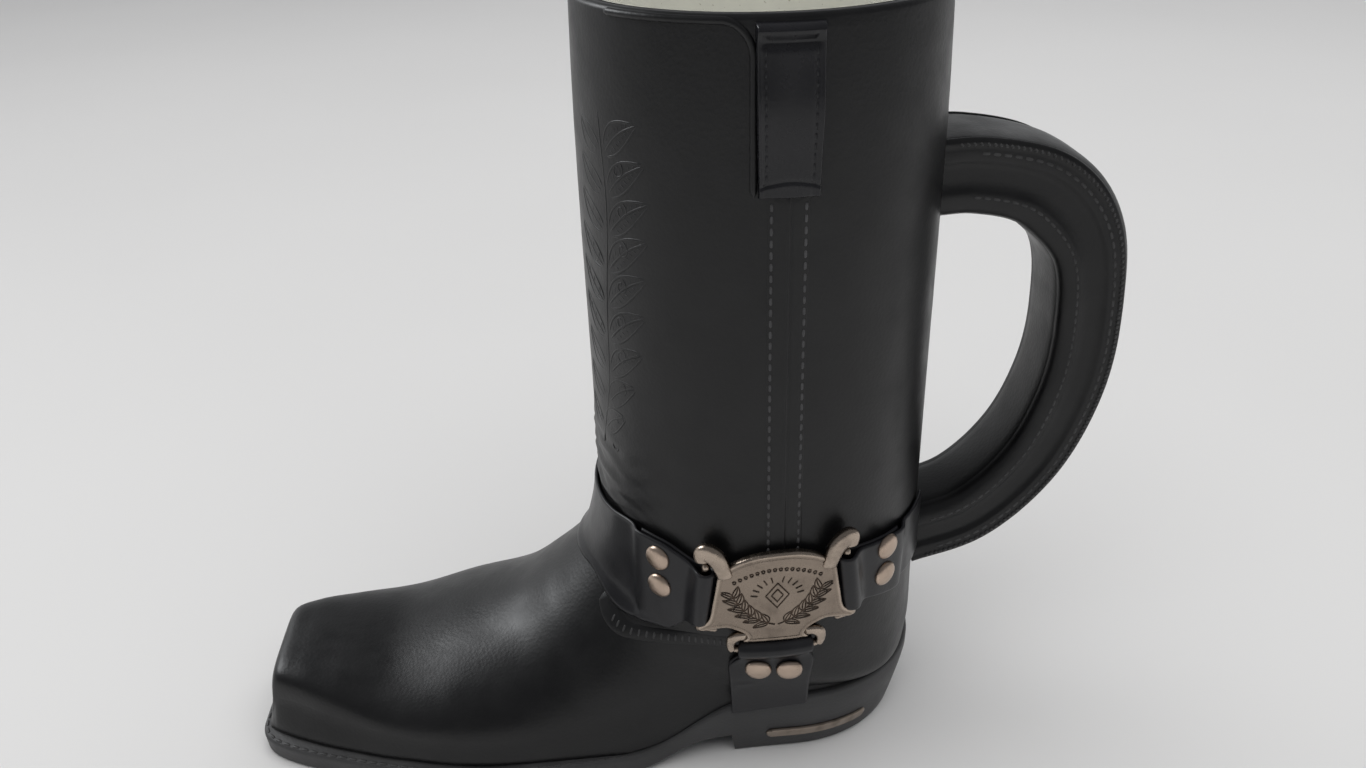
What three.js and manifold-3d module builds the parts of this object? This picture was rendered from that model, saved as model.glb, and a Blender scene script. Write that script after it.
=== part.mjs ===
// A ceramic drinking stein shaped as a harness boot, with a loop handle at the back of the shaft.
// The vessel is a slip-cast shell. The sole, heel, handle, straps and seam strips are cast or pressed
// by themselves and luted on, and the metal fittings are cemented on after firing.
// Millimetres. +Z is up, the toe points to -X, the handle to +X, and the boot's left side faces -Y.
import * as THREE from "three";
import { mergeVertices } from "three/addons/utils/BufferGeometryUtils.js";
import { TessellateModifier } from "three/addons/modifiers/TessellateModifier.js";
import Module from "manifold-3d";

const wasm = await Module();
wasm.setup();

// Vessel
const HEIGHT = 229;
const RIM_RADIUS = 48.6;
const SHAFT_RADIUS = 49.5;
const WALL = 4.5;
const LIP_RADIUS = 1.4;
const ANKLE_Z = 88;
const INSTEP_X = -56;
const INSTEP_Z = 62;
const VAMP_X = -98;
const VAMP_Z = 35;
const TOE_Z = 30.5;

// Foot, seen from above and from the side
const HEEL_END_X = 50;
const HEEL_ROUND_X = 6;
const HEEL_HALF = 41;
const HEEL_FULLNESS = 2.1;
const BALL_X = -92;
const BALL_HALF = 45.5;
const TOE_END_X = -164;
const TOE_TAPER = 21;
const TOE_SQUARENESS = 8;
const WELT = 1.8;
const FLARE = 7;
const SOLE_THICKNESS = 6;
const SOLE_LEAN = 0.4;
const HEEL_SEAT_Z = 21;
const SHANK_FRONT_X = -46;
const SHANK_BACK_X = -6;
const ARCH_Z = 8;
const ARCH_FRONT_X = -46;
const ARCH_BACK_X = -20;
const HEEL_BREAST_X = -13;
const HEEL_TAPER = 4.2;
const HEEL_TOP_Z = 13;
const EDGE_ROUND = 1.2;
const RIM_AT_TOE = 1.6;
const RIM_AT_HEEL = 4;

// Handle
const HANDLE_TOP_Z = 178;
const HANDLE_LOW_Z = 61;
const HANDLE_REACH = 94.5;
const HANDLE_REACH_Z = 131;
const HANDLE_DEPTH = 17.4;
const HANDLE_WIDTH = 29;
const HANDLE_CROWN = 4;
const HANDLE_RIDGE = 1.2;
const HANDLE_GROOVE = 1.3;

// Harness
const HARNESS_Z = 72.2;
const HARNESS_PSI = 88;
const STRAP_THICKNESS = 1.2;
const STRAP_END_WIDTH = 21;
const STRAP_SIDE_LOW_Z = 53.5;
const STRAP_SIDE_HIGH_Z = 86.5;
const STRAP_SPREAD = 13;
const STRAP_ARCH = 7;
const STRAP_ARCH_FROM = 12;
const STRAP_ARCH_RUN = 20;
const STRAP_RING_WIDTH = 14;
const TAB_LENGTH = 20;
const LOWER_STRAP_WIDTH = 21;
const LOWER_STRAP_BROAD = 25;
const LOWER_STRAP_HANG_Z = 33;
const LOWER_STRAP_END_Z = 23;
const BAR_RADIUS = 1.1;
const BAR_CLEAR = 0.6;
const BAR_ACROSS = 20.5;
const BAR_LEAN = 1.5;
const PLATE_HEIGHT = 31;
const PLATE_THICKNESS = 2.4;
const PLATE_BEVEL = 0.6;
const PLATE_LIFT = 1.6;
const LUG_RADIUS = 1.7;
const FOOT_RADIUS = 1.2;
const HORN_RISE = 4.5;
const RING_RADIUS = 14;
const RING_WIRE_RADIUS = 1.6;
const RIVET_RADIUS = 3.9;
const RIVET_HEIGHT = 1.5;
const RIVET_SPACING = 9.6;
const RIVET_SETBACK = 13;
const RIVET_LIFT = 3.4;

// Pull straps and side seams
const PULL_WIDTH = 15;
const PULL_LENGTH = 38;
const PULL_THICKNESS = 1.8;
const PULL_RIM_DROP = 3;
const SEAM_WIDTH = 10;
const SEAM_THICKNESS = 0.9;
const SEAM_BEAD = 0.6;

// Heel plate
const HEEL_PLATE_LENGTH = 33;
const HEEL_PLATE_HEIGHT = 3.8;
const HEEL_PLATE_THICKNESS = 0.9;
const HEEL_PLATE_X = 14;
const HEEL_PLATE_Z = 8.4;

// Every piece that seats on another keeps this joint line to it.
const JOINT = 0.35;
// Cut and joined pieces drop the corners that change their shape by less than this.
const FACET_SLACK = 0.06;
const RAD = Math.PI / 180;

const smooth = (t) => {
  const c = Math.min(1, Math.max(0, t));
  return c * c * (3 - 2 * c);
};
const mix = (a, b, t) => a + (b - a) * t;

// Half width of the sole at x: a round heel, a straight waist, a broad ball and a square toe.
function soleHalf(x) {
  if (x >= HEEL_ROUND_X) {
    const t = Math.min(1, (x - HEEL_ROUND_X) / (HEEL_END_X - HEEL_ROUND_X));
    return HEEL_HALF * (1 - t ** HEEL_FULLNESS) ** (1 / HEEL_FULLNESS);
  }
  if (x >= BALL_X) {
    return mix(BALL_HALF, HEEL_HALF, smooth((x - BALL_X) / (HEEL_ROUND_X - BALL_X)));
  }
  const t = Math.min(1, (BALL_X - x) / (BALL_X - TOE_END_X));
  const tapered = BALL_HALF - TOE_TAPER * t ** 1.25;
  return tapered * (1 - t ** TOE_SQUARENESS) ** (1 / TOE_SQUARENESS);
}

// Height of the upper's underside at x: flat under the ball, then up the shank to the heel seat.
function seatZ(x) {
  const rise = smooth((x - SHANK_FRONT_X) / (SHANK_BACK_X - SHANK_FRONT_X));
  return mix(SOLE_THICKNESS, HEEL_SEAT_Z, rise);
}

// A section of the vessel: its front or top point and its back or bottom point in the XZ plane, its
// half width, where along that line it is widest, how square each end is, and the flare at the welt.
function section(front, back, half, widest, squareFront, squareBack, flare) {
  return { front, back, half, widest, squareFront, squareBack, flare };
}
const round = (z, radius) => section([-radius, z], [radius, z], radius, 0.5, 2, 2, 0);
// Down the shaft and round the heel: shares of the way from the shaft to the instep, and to the heel.
function ankleSection(frontX, frontZ, back, slimming, widest, squareBack) {
  const front = [mix(-SHAFT_RADIUS, INSTEP_X, frontX), mix(ANKLE_Z, INSTEP_Z, frontZ)];
  const half = mix(SHAFT_RADIUS, HEEL_HALF, slimming);
  return section(front, back, half, widest, 2, squareBack, 0);
}
function footSection(front, backX, widest, squareFront, squareBack, flareShare) {
  const flare = FLARE * flareShare;
  const half = soleHalf(backX) - WELT - flare;
  return section(front, [backX, seatZ(backX)], half, widest, squareFront, squareBack, flare);
}
const heelBack = (x, share) => [x, mix(ANKLE_Z, HEEL_SEAT_Z, share)];
const heelFloor = (share) => [mix(HEEL_ROUND_X, HEEL_END_X, share), HEEL_SEAT_Z];
const shank = (share) => mix(SHANK_BACK_X, SHANK_FRONT_X, share);
const vampFront = (t) => [mix(INSTEP_X, VAMP_X, t), mix(VAMP_Z, INSTEP_Z, (1 - t) ** 1.6)];
const toeX = (share) => mix(VAMP_X, TOE_END_X + WELT, share);
const toeZ = (share) => mix(SOLE_THICKNESS, TOE_Z, share);
const SECTIONS = [
  round(HEIGHT, RIM_RADIUS),
  round(mix(HEIGHT, ANKLE_Z, 0.25), SHAFT_RADIUS),
  round(mix(HEIGHT, ANKLE_Z, 0.6), SHAFT_RADIUS),
  round(mix(HEIGHT, ANKLE_Z, 0.92), SHAFT_RADIUS),
  ankleSection(0, 0.1, heelBack(SHAFT_RADIUS, 0.18), 0.04, 0.5, 2),
  ankleSection(0.15, 0.42, heelBack(SHAFT_RADIUS, 0.54), 0.16, 0.5, 2),
  ankleSection(0.45, 0.73, heelBack(HEEL_END_X - WELT / 2, 0.86), 0.4, 0.52, 2.1),
  ankleSection(0.72, 0.9, heelFloor(0.84), 0.6, 0.55, 2.5),
  ankleSection(1, 1, heelFloor(0.27), 0.88, 0.58, 3.4),
  footSection(vampFront(0.13), SHANK_BACK_X, 0.6, 2, 5, 0),
  footSection(vampFront(0.3), shank(0.6), 0.62, 2, 7, 0.05),
  footSection(vampFront(0.58), shank(1.25), 0.66, 2, 8, 0.15),
  footSection(vampFront(1), BALL_X + 3, 0.66, 2.1, 8, 0.3),
  footSection([toeX(0.32), toeZ(0.99)], toeX(0.29), 0.58, 2.1, 8, 0.45),
  footSection([toeX(0.6), toeZ(1.01)], toeX(0.61), 0.5, 2.5, 8, 0.72),
  footSection([toeX(0.78), toeZ(1)], toeX(0.8), 0.42, 3, 7, 1),
  footSection([toeX(0.9), toeZ(0.92)], toeX(0.91), 0.4, 3, 6, 1),
  footSection([toeX(0.93), toeZ(0.63)], toeX(0.955), 0.42, 2.7, 5, 0.8),
  footSection([toeX(0.965), toeZ(0.36)], toeX(0.985), 0.45, 2.4, 4, 0.5),
];
const TIP = [toeX(0.985), toeZ(0.16)];
const LAST = SECTIONS.length - 1;

// A smooth surface through the sections. u runs from 0 at the rim to 1 at the last section of the toe.
function loft(sections) {
  const curve = (pick) => new THREE.SplineCurve(sections.map((s) => new THREE.Vector2(...pick(s))));
  const fronts = curve((s) => s.front);
  const backs = curve((s) => s.back);
  const halves = curve((s) => [s.half, s.widest]);
  const squares = curve((s) => [s.squareFront, s.squareBack]);
  const flares = curve((s) => [s.flare, 0]);
  const at = (u) => ({
    front: fronts.getPoint(u),
    back: backs.getPoint(u),
    half: halves.getPoint(u).x,
    widest: halves.getPoint(u).y,
    squareFront: squares.getPoint(u).x,
    squareBack: squares.getPoint(u).y,
    flare: flares.getPoint(u).x,
  });
  // theta is 0 at the front or top, PI at the back or bottom; side is +1 on the left, -1 on the right.
  const point = (u, theta, side) => sectionPoint(at(u), theta, side);
  return { at, point };
}
function sectionPoint(s, theta, side) {
  const line = s.back.clone().sub(s.front);
  const c = Math.cos(theta);
  const back = c < 0;
  const power = 2 / (back ? s.squareBack : s.squareFront);
  const reach = Math.abs(c) ** power;
  const along = back ? s.widest + (1 - s.widest) * reach : s.widest * (1 - reach);
  const lateral = s.half * Math.abs(Math.sin(theta)) ** power;
  const flared = back ? 1 + (s.flare / s.half) * smooth((reach - 0.25) / 0.7) : 1;
  const onLine = s.front.clone().addScaledVector(line, along);
  return new THREE.Vector3(onLine.x, -side * lateral * flared, onLine.y);
}

// The angles of one half section, spaced evenly along its outline.
function evenAngles(s, count) {
  const steps = 240;
  const lengths = [0];
  let last = sectionPoint(s, 0, 1);
  for (let i = 1; i <= steps; i++) {
    const next = sectionPoint(s, (Math.PI * i) / steps, 1);
    lengths.push(lengths[i - 1] + next.distanceTo(last));
    last = next;
  }
  const angles = [];
  let k = 0;
  for (let j = 0; j <= count; j++) {
    const goal = (lengths[steps] * j) / count;
    while (k < steps - 1 && lengths[k + 1] < goal) k++;
    const share = (goal - lengths[k]) / (lengths[k + 1] - lengths[k] || 1);
    angles.push((Math.PI * (k + share)) / steps);
  }
  return angles;
}
function ring(surface, u, perSide) {
  const s = surface.at(u);
  const angles = evenAngles(s, perSide);
  const left = angles.map((a) => sectionPoint(s, a, 1));
  const right = angles.slice(1, -1).map((a) => sectionPoint(s, a, -1));
  return [...left, ...right.reverse()];
}

// One closed body from a stack of equal rings, closed at each end by a point.
function ringsBody(rings, firstTip, lastTip) {
  const positions = [];
  const index = [];
  const n = rings[0].length;
  rings.forEach((r) => r.forEach((p) => positions.push(p.x, p.y, p.z)));
  for (let i = 0; i + 1 < rings.length; i++) {
    for (let j = 0; j < n; j++) {
      const a = i * n + j;
      const b = i * n + ((j + 1) % n);
      index.push(a, b, a + n, b, b + n, a + n);
    }
  }
  const first = rings.length * n;
  positions.push(firstTip.x, firstTip.y, firstTip.z, lastTip.x, lastTip.y, lastTip.z);
  const base = (rings.length - 1) * n;
  for (let j = 0; j < n; j++) {
    index.push(first, (j + 1) % n, j);
    index.push(first + 1, base + j, base + ((j + 1) % n));
  }
  const geometry = new THREE.BufferGeometry();
  geometry.setAttribute("position", new THREE.Float32BufferAttribute(positions, 3));
  geometry.setIndex(index);
  return facingOut(geometry);
}
const middle = (points) =>
  points.reduce((sum, p) => sum.add(p), new THREE.Vector3()).divideScalar(points.length);

// Turns a closed geometry's faces outwards if they point in.
function facingOut(geometry) {
  const p = geometry.getAttribute("position");
  const index = geometry.getIndex();
  const corner = (i) => new THREE.Vector3().fromBufferAttribute(p, index.getX(i));
  let volume = 0;
  for (let i = 0; i < index.count; i += 3) volume += corner(i).dot(corner(i + 1).cross(corner(i + 2)));
  if (volume < 0) {
    for (let i = 0; i < index.count; i += 3) {
      const swap = index.getX(i + 1);
      index.setX(i + 1, index.getX(i + 2));
      index.setX(i + 2, swap);
    }
  }
  return geometry;
}

function toSolid(geometry) {
  const bare = geometry.clone();
  bare.deleteAttribute("normal");
  bare.deleteAttribute("uv");
  const merged = facingOut(mergeVertices(bare, 1e-3));
  return new wasm.Manifold(
    new wasm.Mesh({
      numProp: 3,
      vertProperties: new Float32Array(merged.getAttribute("position").array),
      triVerts: new Uint32Array(merged.getIndex().array),
    }),
  );
}
function toGeometry(solid) {
  const mesh = solid.getMesh();
  const geometry = new THREE.BufferGeometry();
  geometry.setAttribute("position", new THREE.BufferAttribute(mesh.vertProperties, 3));
  geometry.setIndex(new THREE.BufferAttribute(mesh.triVerts, 1));
  return geometry;
}

// Vessel: outer skin, rounded lip and inner skin in one closed body
const RING_SIDE = 18;
const OUTER_RINGS = 46;
const INNER_RINGS = 17;
const outer = loft(SECTIONS);
function offset(s, by) {
  const front = new THREE.Vector2(...s.front);
  const back = new THREE.Vector2(...s.back);
  const step = back.clone().sub(front).setLength(by);
  front.sub(step);
  back.add(step);
  return { ...s, front: front.toArray(), back: back.toArray(), half: s.half + by };
}
// The bore is rounder at the bottom than the outside, and has no flare.
function bored(s) {
  return { ...offset(s, -WALL), squareBack: Math.min(4, s.squareBack), flare: 0 };
}
function vesselBody() {
  // The lip rolls over from the inner wall to the outer one.
  const lipFlat = WALL / 2 - LIP_RADIUS;
  const lipRings = [180, 135, 90, 90, 45, 0].map((deg, i) => {
    const outward = (i < 3 ? -lipFlat : lipFlat) + LIP_RADIUS * Math.cos(deg * RAD);
    const z = HEIGHT - LIP_RADIUS + LIP_RADIUS * Math.sin(deg * RAD);
    const lip = round(z, RIM_RADIUS - WALL / 2 + outward);
    return ring(loft([lip, lip]), 0, RING_SIDE);
  });
  const inner = loft(SECTIONS.slice(0, LAST - 1).map(bored));
  const innerRings = [];
  for (let i = INNER_RINGS; i >= 1; i--) innerRings.push(ring(inner, i / INNER_RINGS, RING_SIDE));
  const outerRings = [];
  for (let i = 1; i <= OUTER_RINGS; i++) outerRings.push(ring(outer, i / OUTER_RINGS, RING_SIDE));
  const innerTip = middle(innerRings[0]).add(new THREE.Vector3(-WALL / 2, 0, 0));
  const outerTip = new THREE.Vector3(TIP[0], 0, TIP[1]);
  return ringsBody([...innerRings, ...lipRings, ...outerRings], innerTip, outerTip);
}

// The vessel's outside grown by the joint line: what is luted on is cut back to it.
function vesselCutter() {
  const grown = loft(SECTIONS.map((s) => offset(s, JOINT)));
  const rings = [];
  for (let i = 0; i <= OUTER_RINGS; i++) rings.push(ring(grown, i / OUTER_RINGS, RING_SIDE));
  const tip = new THREE.Vector3(TIP[0] - JOINT, 0, TIP[1]);
  return toSolid(ringsBody(rings, middle(rings[0]), tip));
}

// The point of the vessel's outside at height z, at azimuth psi: 0 faces the toe, 90 the left side.
function skinPoint(psi, z) {
  const side = psi < 0 ? -1 : 1;
  const goal = Math.abs(psi) * RAD;
  const atHeight = (theta) => {
    let low = 0;
    let high = 1;
    for (let i = 0; i < 26; i++) {
      const u = (low + high) / 2;
      if (outer.point(u, theta, 1).z > z) low = u;
      else high = u;
    }
    return (low + high) / 2;
  };
  let low = 0;
  let high = Math.PI;
  for (let i = 0; i < 26; i++) {
    const theta = (low + high) / 2;
    const p = outer.point(atHeight(theta), theta, 1);
    if (Math.atan2(-p.y, -p.x) < goal) low = theta;
    else high = theta;
  }
  const theta = (low + high) / 2;
  return outer.point(atHeight(theta), theta, side);
}
const skinCache = new Map();
function skin(psi, z) {
  const key = `${psi.toFixed(3)} ${z.toFixed(3)}`;
  if (!skinCache.has(key)) {
    const step = 0.5;
    const turn = skinPoint(psi + step, z).sub(skinPoint(psi - step, z));
    const rise = skinPoint(psi, z + step).sub(skinPoint(psi, z - step));
    const normal = turn.cross(rise).normalize();
    const point = skinPoint(psi, z);
    if (normal.dot(new THREE.Vector3(point.x, point.y, 0)) < 0) normal.negate();
    skinCache.set(key, { point, normal });
  }
  return skinCache.get(key);
}
// Bends a flat point over the vessel: across in mm along the skin from azimuth psi, z, and out from it.
function bent(psi, across, z, out) {
  const { point, normal } = skin(psi + across / (SHAFT_RADIUS * RAD), z);
  return point.clone().addScaledVector(normal, out);
}
function bend(geometry, place) {
  const p = geometry.getAttribute("position");
  for (let i = 0; i < p.count; i++) {
    const to = place(p.getX(i), p.getY(i), p.getZ(i));
    p.setXYZ(i, to.x, to.y, to.z);
  }
  return toGeometry(toSolid(geometry));
}

// The sole's outline drawn in by some mm: where the point at x goes, and the half width there.
const TOE_RUN = BALL_X - TOE_END_X;
const HEEL_RUN = HEEL_END_X - HEEL_ROUND_X;
function drawnIn(x, by) {
  const half = soleHalf(x) * (1 - by / HEEL_HALF);
  if (x > HEEL_ROUND_X) return [mix(HEEL_ROUND_X, x, 1 - by / HEEL_RUN), half];
  if (x < BALL_X) return [mix(BALL_X, x, 1 - by / TOE_RUN), half];
  return [x, half];
}
// A layer of the sole with rounded edges: top and bottom heights at x, and how far each is drawn in.
function layer(stations, top, bottom, topIn, bottomIn) {
  const rings = stations.map((x) => {
    const up = top(x);
    const down = bottom(x);
    const r = Math.min(EDGE_ROUND, (up - down) / 3);
    const levels = [[topIn(x) + r, up], [topIn(x), up - r], [bottomIn(x), down + r], [bottomIn(x) + r, down]];
    const edge = levels.map(([by, z]) => [...drawnIn(x, by), z]);
    const left = edge.map(([at, half, z]) => new THREE.Vector3(at, -half, z));
    const right = edge.map(([at, half, z]) => new THREE.Vector3(at, half, z)).reverse();
    const middleTop = new THREE.Vector3(edge[0][0], 0, up);
    const middleBottom = new THREE.Vector3(edge[3][0], 0, down);
    return [middleTop, ...left, middleBottom, ...right];
  });
  const tip = (x) => {
    const [at] = drawnIn(x, (topIn(x) + bottomIn(x)) / 2);
    return new THREE.Vector3(at, 0, (top(x) + bottom(x)) / 2);
  };
  return ringsBody(rings, tip(stations[0]), tip(stations[stations.length - 1]));
}
// Stations from a rounded end to a plain one, crowding towards the rounded end.
function stationsTo(rounded, plain, count) {
  const share = (i) => 1 - Math.cos((Math.PI * i) / (2 * count));
  return Array.from({ length: count + 1 }, (_, i) => mix(rounded, plain, share(i)));
}
const archZ = (x) => ARCH_Z * smooth((x - ARCH_FRONT_X) / (ARCH_BACK_X - ARCH_FRONT_X));
// The ends of the sole and heel stop this short of a sharp point, and their steps run this far in x.
const END_TRIM = 0.15;
const STEP_RUN = 0.05;
// The heel narrows from the seat to the floor: how far its outline is drawn in at height z.
const heelIn = (z) => SOLE_LEAN + HEEL_TAPER * (1 - z / HEEL_SEAT_Z);
// The outsole's underside: flat, then the arch, then a step up over the heel block.
const soleUnder = (x) => (x > HEEL_BREAST_X - JOINT ? HEEL_TOP_Z + JOINT : archZ(x));
// Its rim stands up round the upper's rounded lower edge, and the upper is let into it.
function rimZ(x) {
  const rise = smooth((x - SHANK_FRONT_X) / (SHANK_BACK_X - SHANK_FRONT_X));
  return seatZ(x) - JOINT + mix(RIM_AT_TOE, RIM_AT_HEEL, rise);
}
function outsole(cutter) {
  const front = stationsTo(TOE_END_X + END_TRIM, HEEL_BREAST_X - JOINT, 24);
  const rear = stationsTo(HEEL_END_X - END_TRIM, HEEL_BREAST_X - JOINT + STEP_RUN, 13).reverse();
  const nearHeel = (x) => smooth((x - ARCH_FRONT_X) / (HEEL_BREAST_X - ARCH_FRONT_X));
  const underIn = (x) => mix(SOLE_LEAN, heelIn(soleUnder(x)), nearHeel(x));
  const block = layer([...front, ...rear], rimZ, soleUnder, () => 0, underIn);
  return toGeometry(toSolid(block).subtract(cutter).simplify(FACET_SLACK));
}
function heelBlock() {
  const xs = stationsTo(HEEL_END_X - END_TRIM, HEEL_BREAST_X, 13).reverse();
  return layer(xs, () => HEEL_TOP_Z, () => 0, () => heelIn(HEEL_TOP_Z), () => heelIn(0));
}
// Half width of the heel block's wall at x, where its outline is drawn in by some mm
function heelWall(x, by) {
  const along = (x - HEEL_ROUND_X) / (1 - by / HEEL_RUN);
  return drawnIn(x > HEEL_ROUND_X ? HEEL_ROUND_X + along : x, by)[1];
}

// Handle: a padded strip closed by corner ridges, swept along a D
function handleSection() {
  const w = HANDLE_WIDTH / 2;
  const d = HANDLE_DEPTH / 2;
  const half = [
    [0, d + HANDLE_CROWN],
    [w * 0.45, d + HANDLE_CROWN * 0.8],
    [w - 3.2, d + 0.3],
    [w - 1.4, d + HANDLE_RIDGE],
    [w, d - 0.8],
    [w - 0.4, d * 0.42],
    [w - HANDLE_GROOVE, d * 0.26],
    [w - HANDLE_GROOVE, -d * 0.3],
    [w - HANDLE_GROOVE + 0.3, -d * 0.5],
    [w - 2.3, -d * 0.85],
    [w - 4.6, -d],
    [w * 0.3, -d - 0.6],
    [0, -d - 0.6],
  ];
  const mirrored = half.slice(1, -1).reverse().map(([y, out]) => [-y, out]);
  return [...half, ...mirrored];
}
function handlePath() {
  const root = SHAFT_RADIUS - WALL;
  const reach = HANDLE_REACH - SHAFT_RADIUS;
  const rise = HANDLE_TOP_Z - HANDLE_REACH_Z;
  const fall = HANDLE_REACH_Z - HANDLE_LOW_Z;
  const points = [
    [root, HANDLE_TOP_Z + 0.3],
    [SHAFT_RADIUS + reach * 0.21, HANDLE_TOP_Z - rise * 0.01],
    [SHAFT_RADIUS + reach * 0.63, HANDLE_TOP_Z - rise * 0.18],
    [SHAFT_RADIUS + reach * 0.91, HANDLE_TOP_Z - rise * 0.51],
    [HANDLE_REACH, HANDLE_REACH_Z],
    [SHAFT_RADIUS + reach * 0.93, HANDLE_REACH_Z - fall * 0.31],
    [SHAFT_RADIUS + reach * 0.7, HANDLE_REACH_Z - fall * 0.63],
    [SHAFT_RADIUS + reach * 0.33, HANDLE_REACH_Z - fall * 0.88],
    [root, HANDLE_LOW_Z],
  ];
  const inSpace = points.map(([x, z]) => new THREE.Vector3(x, 0, z));
  return new THREE.CatmullRomCurve3(inSpace, false, "centripetal");
}
function handle(cutter) {
  const path = handlePath();
  const steps = 28;
  const outline = handleSection();
  const rings = [];
  for (let i = 0; i <= steps; i++) {
    const centre = path.getPointAt(i / steps);
    const tangent = path.getTangentAt(i / steps);
    const outward = new THREE.Vector3(-tangent.z, 0, tangent.x);
    rings.push(outline.map(([y, out]) => centre.clone().addScaledVector(outward, out).setY(y)));
  }
  const bar = toSolid(ringsBody(rings, middle(rings[0]), middle(rings[steps])));
  return toGeometry(bar.subtract(cutter).simplify(FACET_SLACK));
}

// A strip with rounded edges and perhaps a bead along its middle, laid up the skin: [across, out]
function stripOutline(width, thickness, bead) {
  const h = width / 2;
  const r = EDGE_ROUND / 3;
  const top = JOINT + thickness;
  const under = [-1, -0.6, -0.2, 0.2, 0.6, 1].map((k) => [k * h, JOINT]);
  const half = [[h, top - r], [h - r, top], [h * 0.5, top]];
  if (bead) half.push([bead * 1.6, top]);
  const mirrored = half.map(([x, out]) => [-x, out]).reverse();
  return [...under, ...half, [0, top + bead], ...mirrored];
}
function strip(psi, width, thickness, bead, lowZ, highZ, steps, swell) {
  const outline = stripOutline(width, thickness, bead);
  const rings = [];
  for (let i = 0; i <= steps; i++) {
    const t = i / steps;
    const lift = (out) => (out > JOINT ? out + swell(t) : out);
    rings.push(outline.map(([x, out]) => bent(psi, x, mix(lowZ, highZ, t), lift(out))));
  }
  const tip = (z) => bent(psi, 0, z, JOINT + thickness / 2);
  return ringsBody(rings, tip(lowZ), tip(highZ));
}
const pullHigh = HEIGHT - PULL_RIM_DROP;
const pullLow = pullHigh - PULL_LENGTH;
const plateTop = HARNESS_Z + PLATE_HEIGHT / 2;
function pullStrap(side) {
  const bow = (t) => 0.9 * Math.sin(Math.PI * smooth(t)) ** 2;
  return strip(90 * side, PULL_WIDTH, PULL_THICKNESS, 0, pullLow, pullHigh, 10, bow);
}
function sideSeam(side) {
  const low = side > 0 ? plateTop + 3 : HARNESS_Z + RING_RADIUS + RING_WIRE_RADIUS + 3;
  return strip(90 * side, SEAM_WIDTH, SEAM_THICKNESS, SEAM_BEAD, low, pullLow - JOINT, 8, () => 0);
}

// Straps: a sheet that comes along the skin, folds round a bar and tucks back under itself
const UNDER = JOINT + STRAP_THICKNESS / 2;
const OVER = UNDER + STRAP_THICKNESS + JOINT;
const foldRadius = (bar) => bar + BAR_CLEAR + STRAP_THICKNESS / 2;
const BAR_OUT = UNDER + foldRadius(BAR_RADIUS);
// The middle line of a folded end: from its tucked tab, round a bar at (0, out) and away over the tab.
// The first number runs away from the bar along the strap, the second out from the skin.
function foldedEnd(bar, out, slack, tab) {
  const fold = foldRadius(bar);
  const high = (out + fold - UNDER) / 2;
  const points = [1, 0.75, 0.5, 0.25, 0.05].map((share) => [tab * share, UNDER]);
  points.push([-slack, UNDER]);
  for (let deg = -60; deg <= 60; deg += 30) {
    points.push([-slack - fold * Math.cos(deg * RAD), UNDER + high + high * Math.sin(deg * RAD)]);
  }
  const top = UNDER + 2 * high;
  points.push([-slack, top], [fold * 0.5, mix(OVER, top, 0.86)], [fold * 1.3, mix(OVER, top, 0.35)]);
  points.push([fold * 2.1, OVER + 0.1], [tab * 0.5, OVER], [tab * 0.75, OVER], [tab + 0.5, OVER]);
  points.push([tab + 4, UNDER]);
  return points;
}
// A sheet of the strap's thickness along a middle line; place puts it on the boot, share across it.
function strapSheet(line, widthSteps, place) {
  const path = line.map(([a, out]) => new THREE.Vector2(a, out));
  const shares = Array.from({ length: widthSteps + 1 }, (_, k) => k / widthSteps);
  const rings = path.map((p, i) => {
    const before = path[Math.max(0, i - 1)];
    const after = path[Math.min(path.length - 1, i + 1)];
    const along = after.clone().sub(before).normalize();
    const across = new THREE.Vector2(-along.y, along.x).multiplyScalar(STRAP_THICKNESS / 2);
    const row = (q) => shares.map((share) => place(q.x, q.y, share));
    return [...row(p.clone().add(across)), ...row(p.clone().sub(across)).reverse()];
  });
  const tip = (p) => place(p.x, p.y, 0.5);
  return ringsBody(rings, tip(path[0]), tip(path[path.length - 1]));
}
function runOn(line, to, spacing) {
  const [from, out] = line[line.length - 1];
  const count = Math.max(1, Math.round(Math.abs(to - from) / spacing));
  for (let i = 1; i <= count; i++) line.push([mix(from, to, i / count), out]);
  return line;
}
const RIGHT_PSI = -HARNESS_PSI;
const arc = (deg) => deg * RAD * SHAFT_RADIUS;
// The left plate's side bars lean: they stand further out towards their lower ends.
const barLean = (z) => (BAR_LEAN * (HARNESS_Z - z)) / (STRAP_END_WIDTH / 2);
// The right ring is flat, so its sides stand further off the round skin than its top and bottom.
const ringPlane = SHAFT_RADIUS + UNDER + foldRadius(RING_WIRE_RADIUS);
const ringAcross = Math.atan2(RING_RADIUS, ringPlane) * SHAFT_RADIUS;
const ringOut = Math.hypot(RING_RADIUS, ringPlane) - SHAFT_RADIUS;
const ringSlack = RING_RADIUS - Math.sqrt(RING_RADIUS ** 2 - (STRAP_RING_WIDTH / 2) ** 2) + BAR_CLEAR;
const leftEnd = () => foldedEnd(BAR_RADIUS, BAR_OUT, 0, TAB_LENGTH);
const rightEnd = () => foldedEnd(RING_WIRE_RADIUS, ringOut, ringSlack, TAB_LENGTH);
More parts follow.
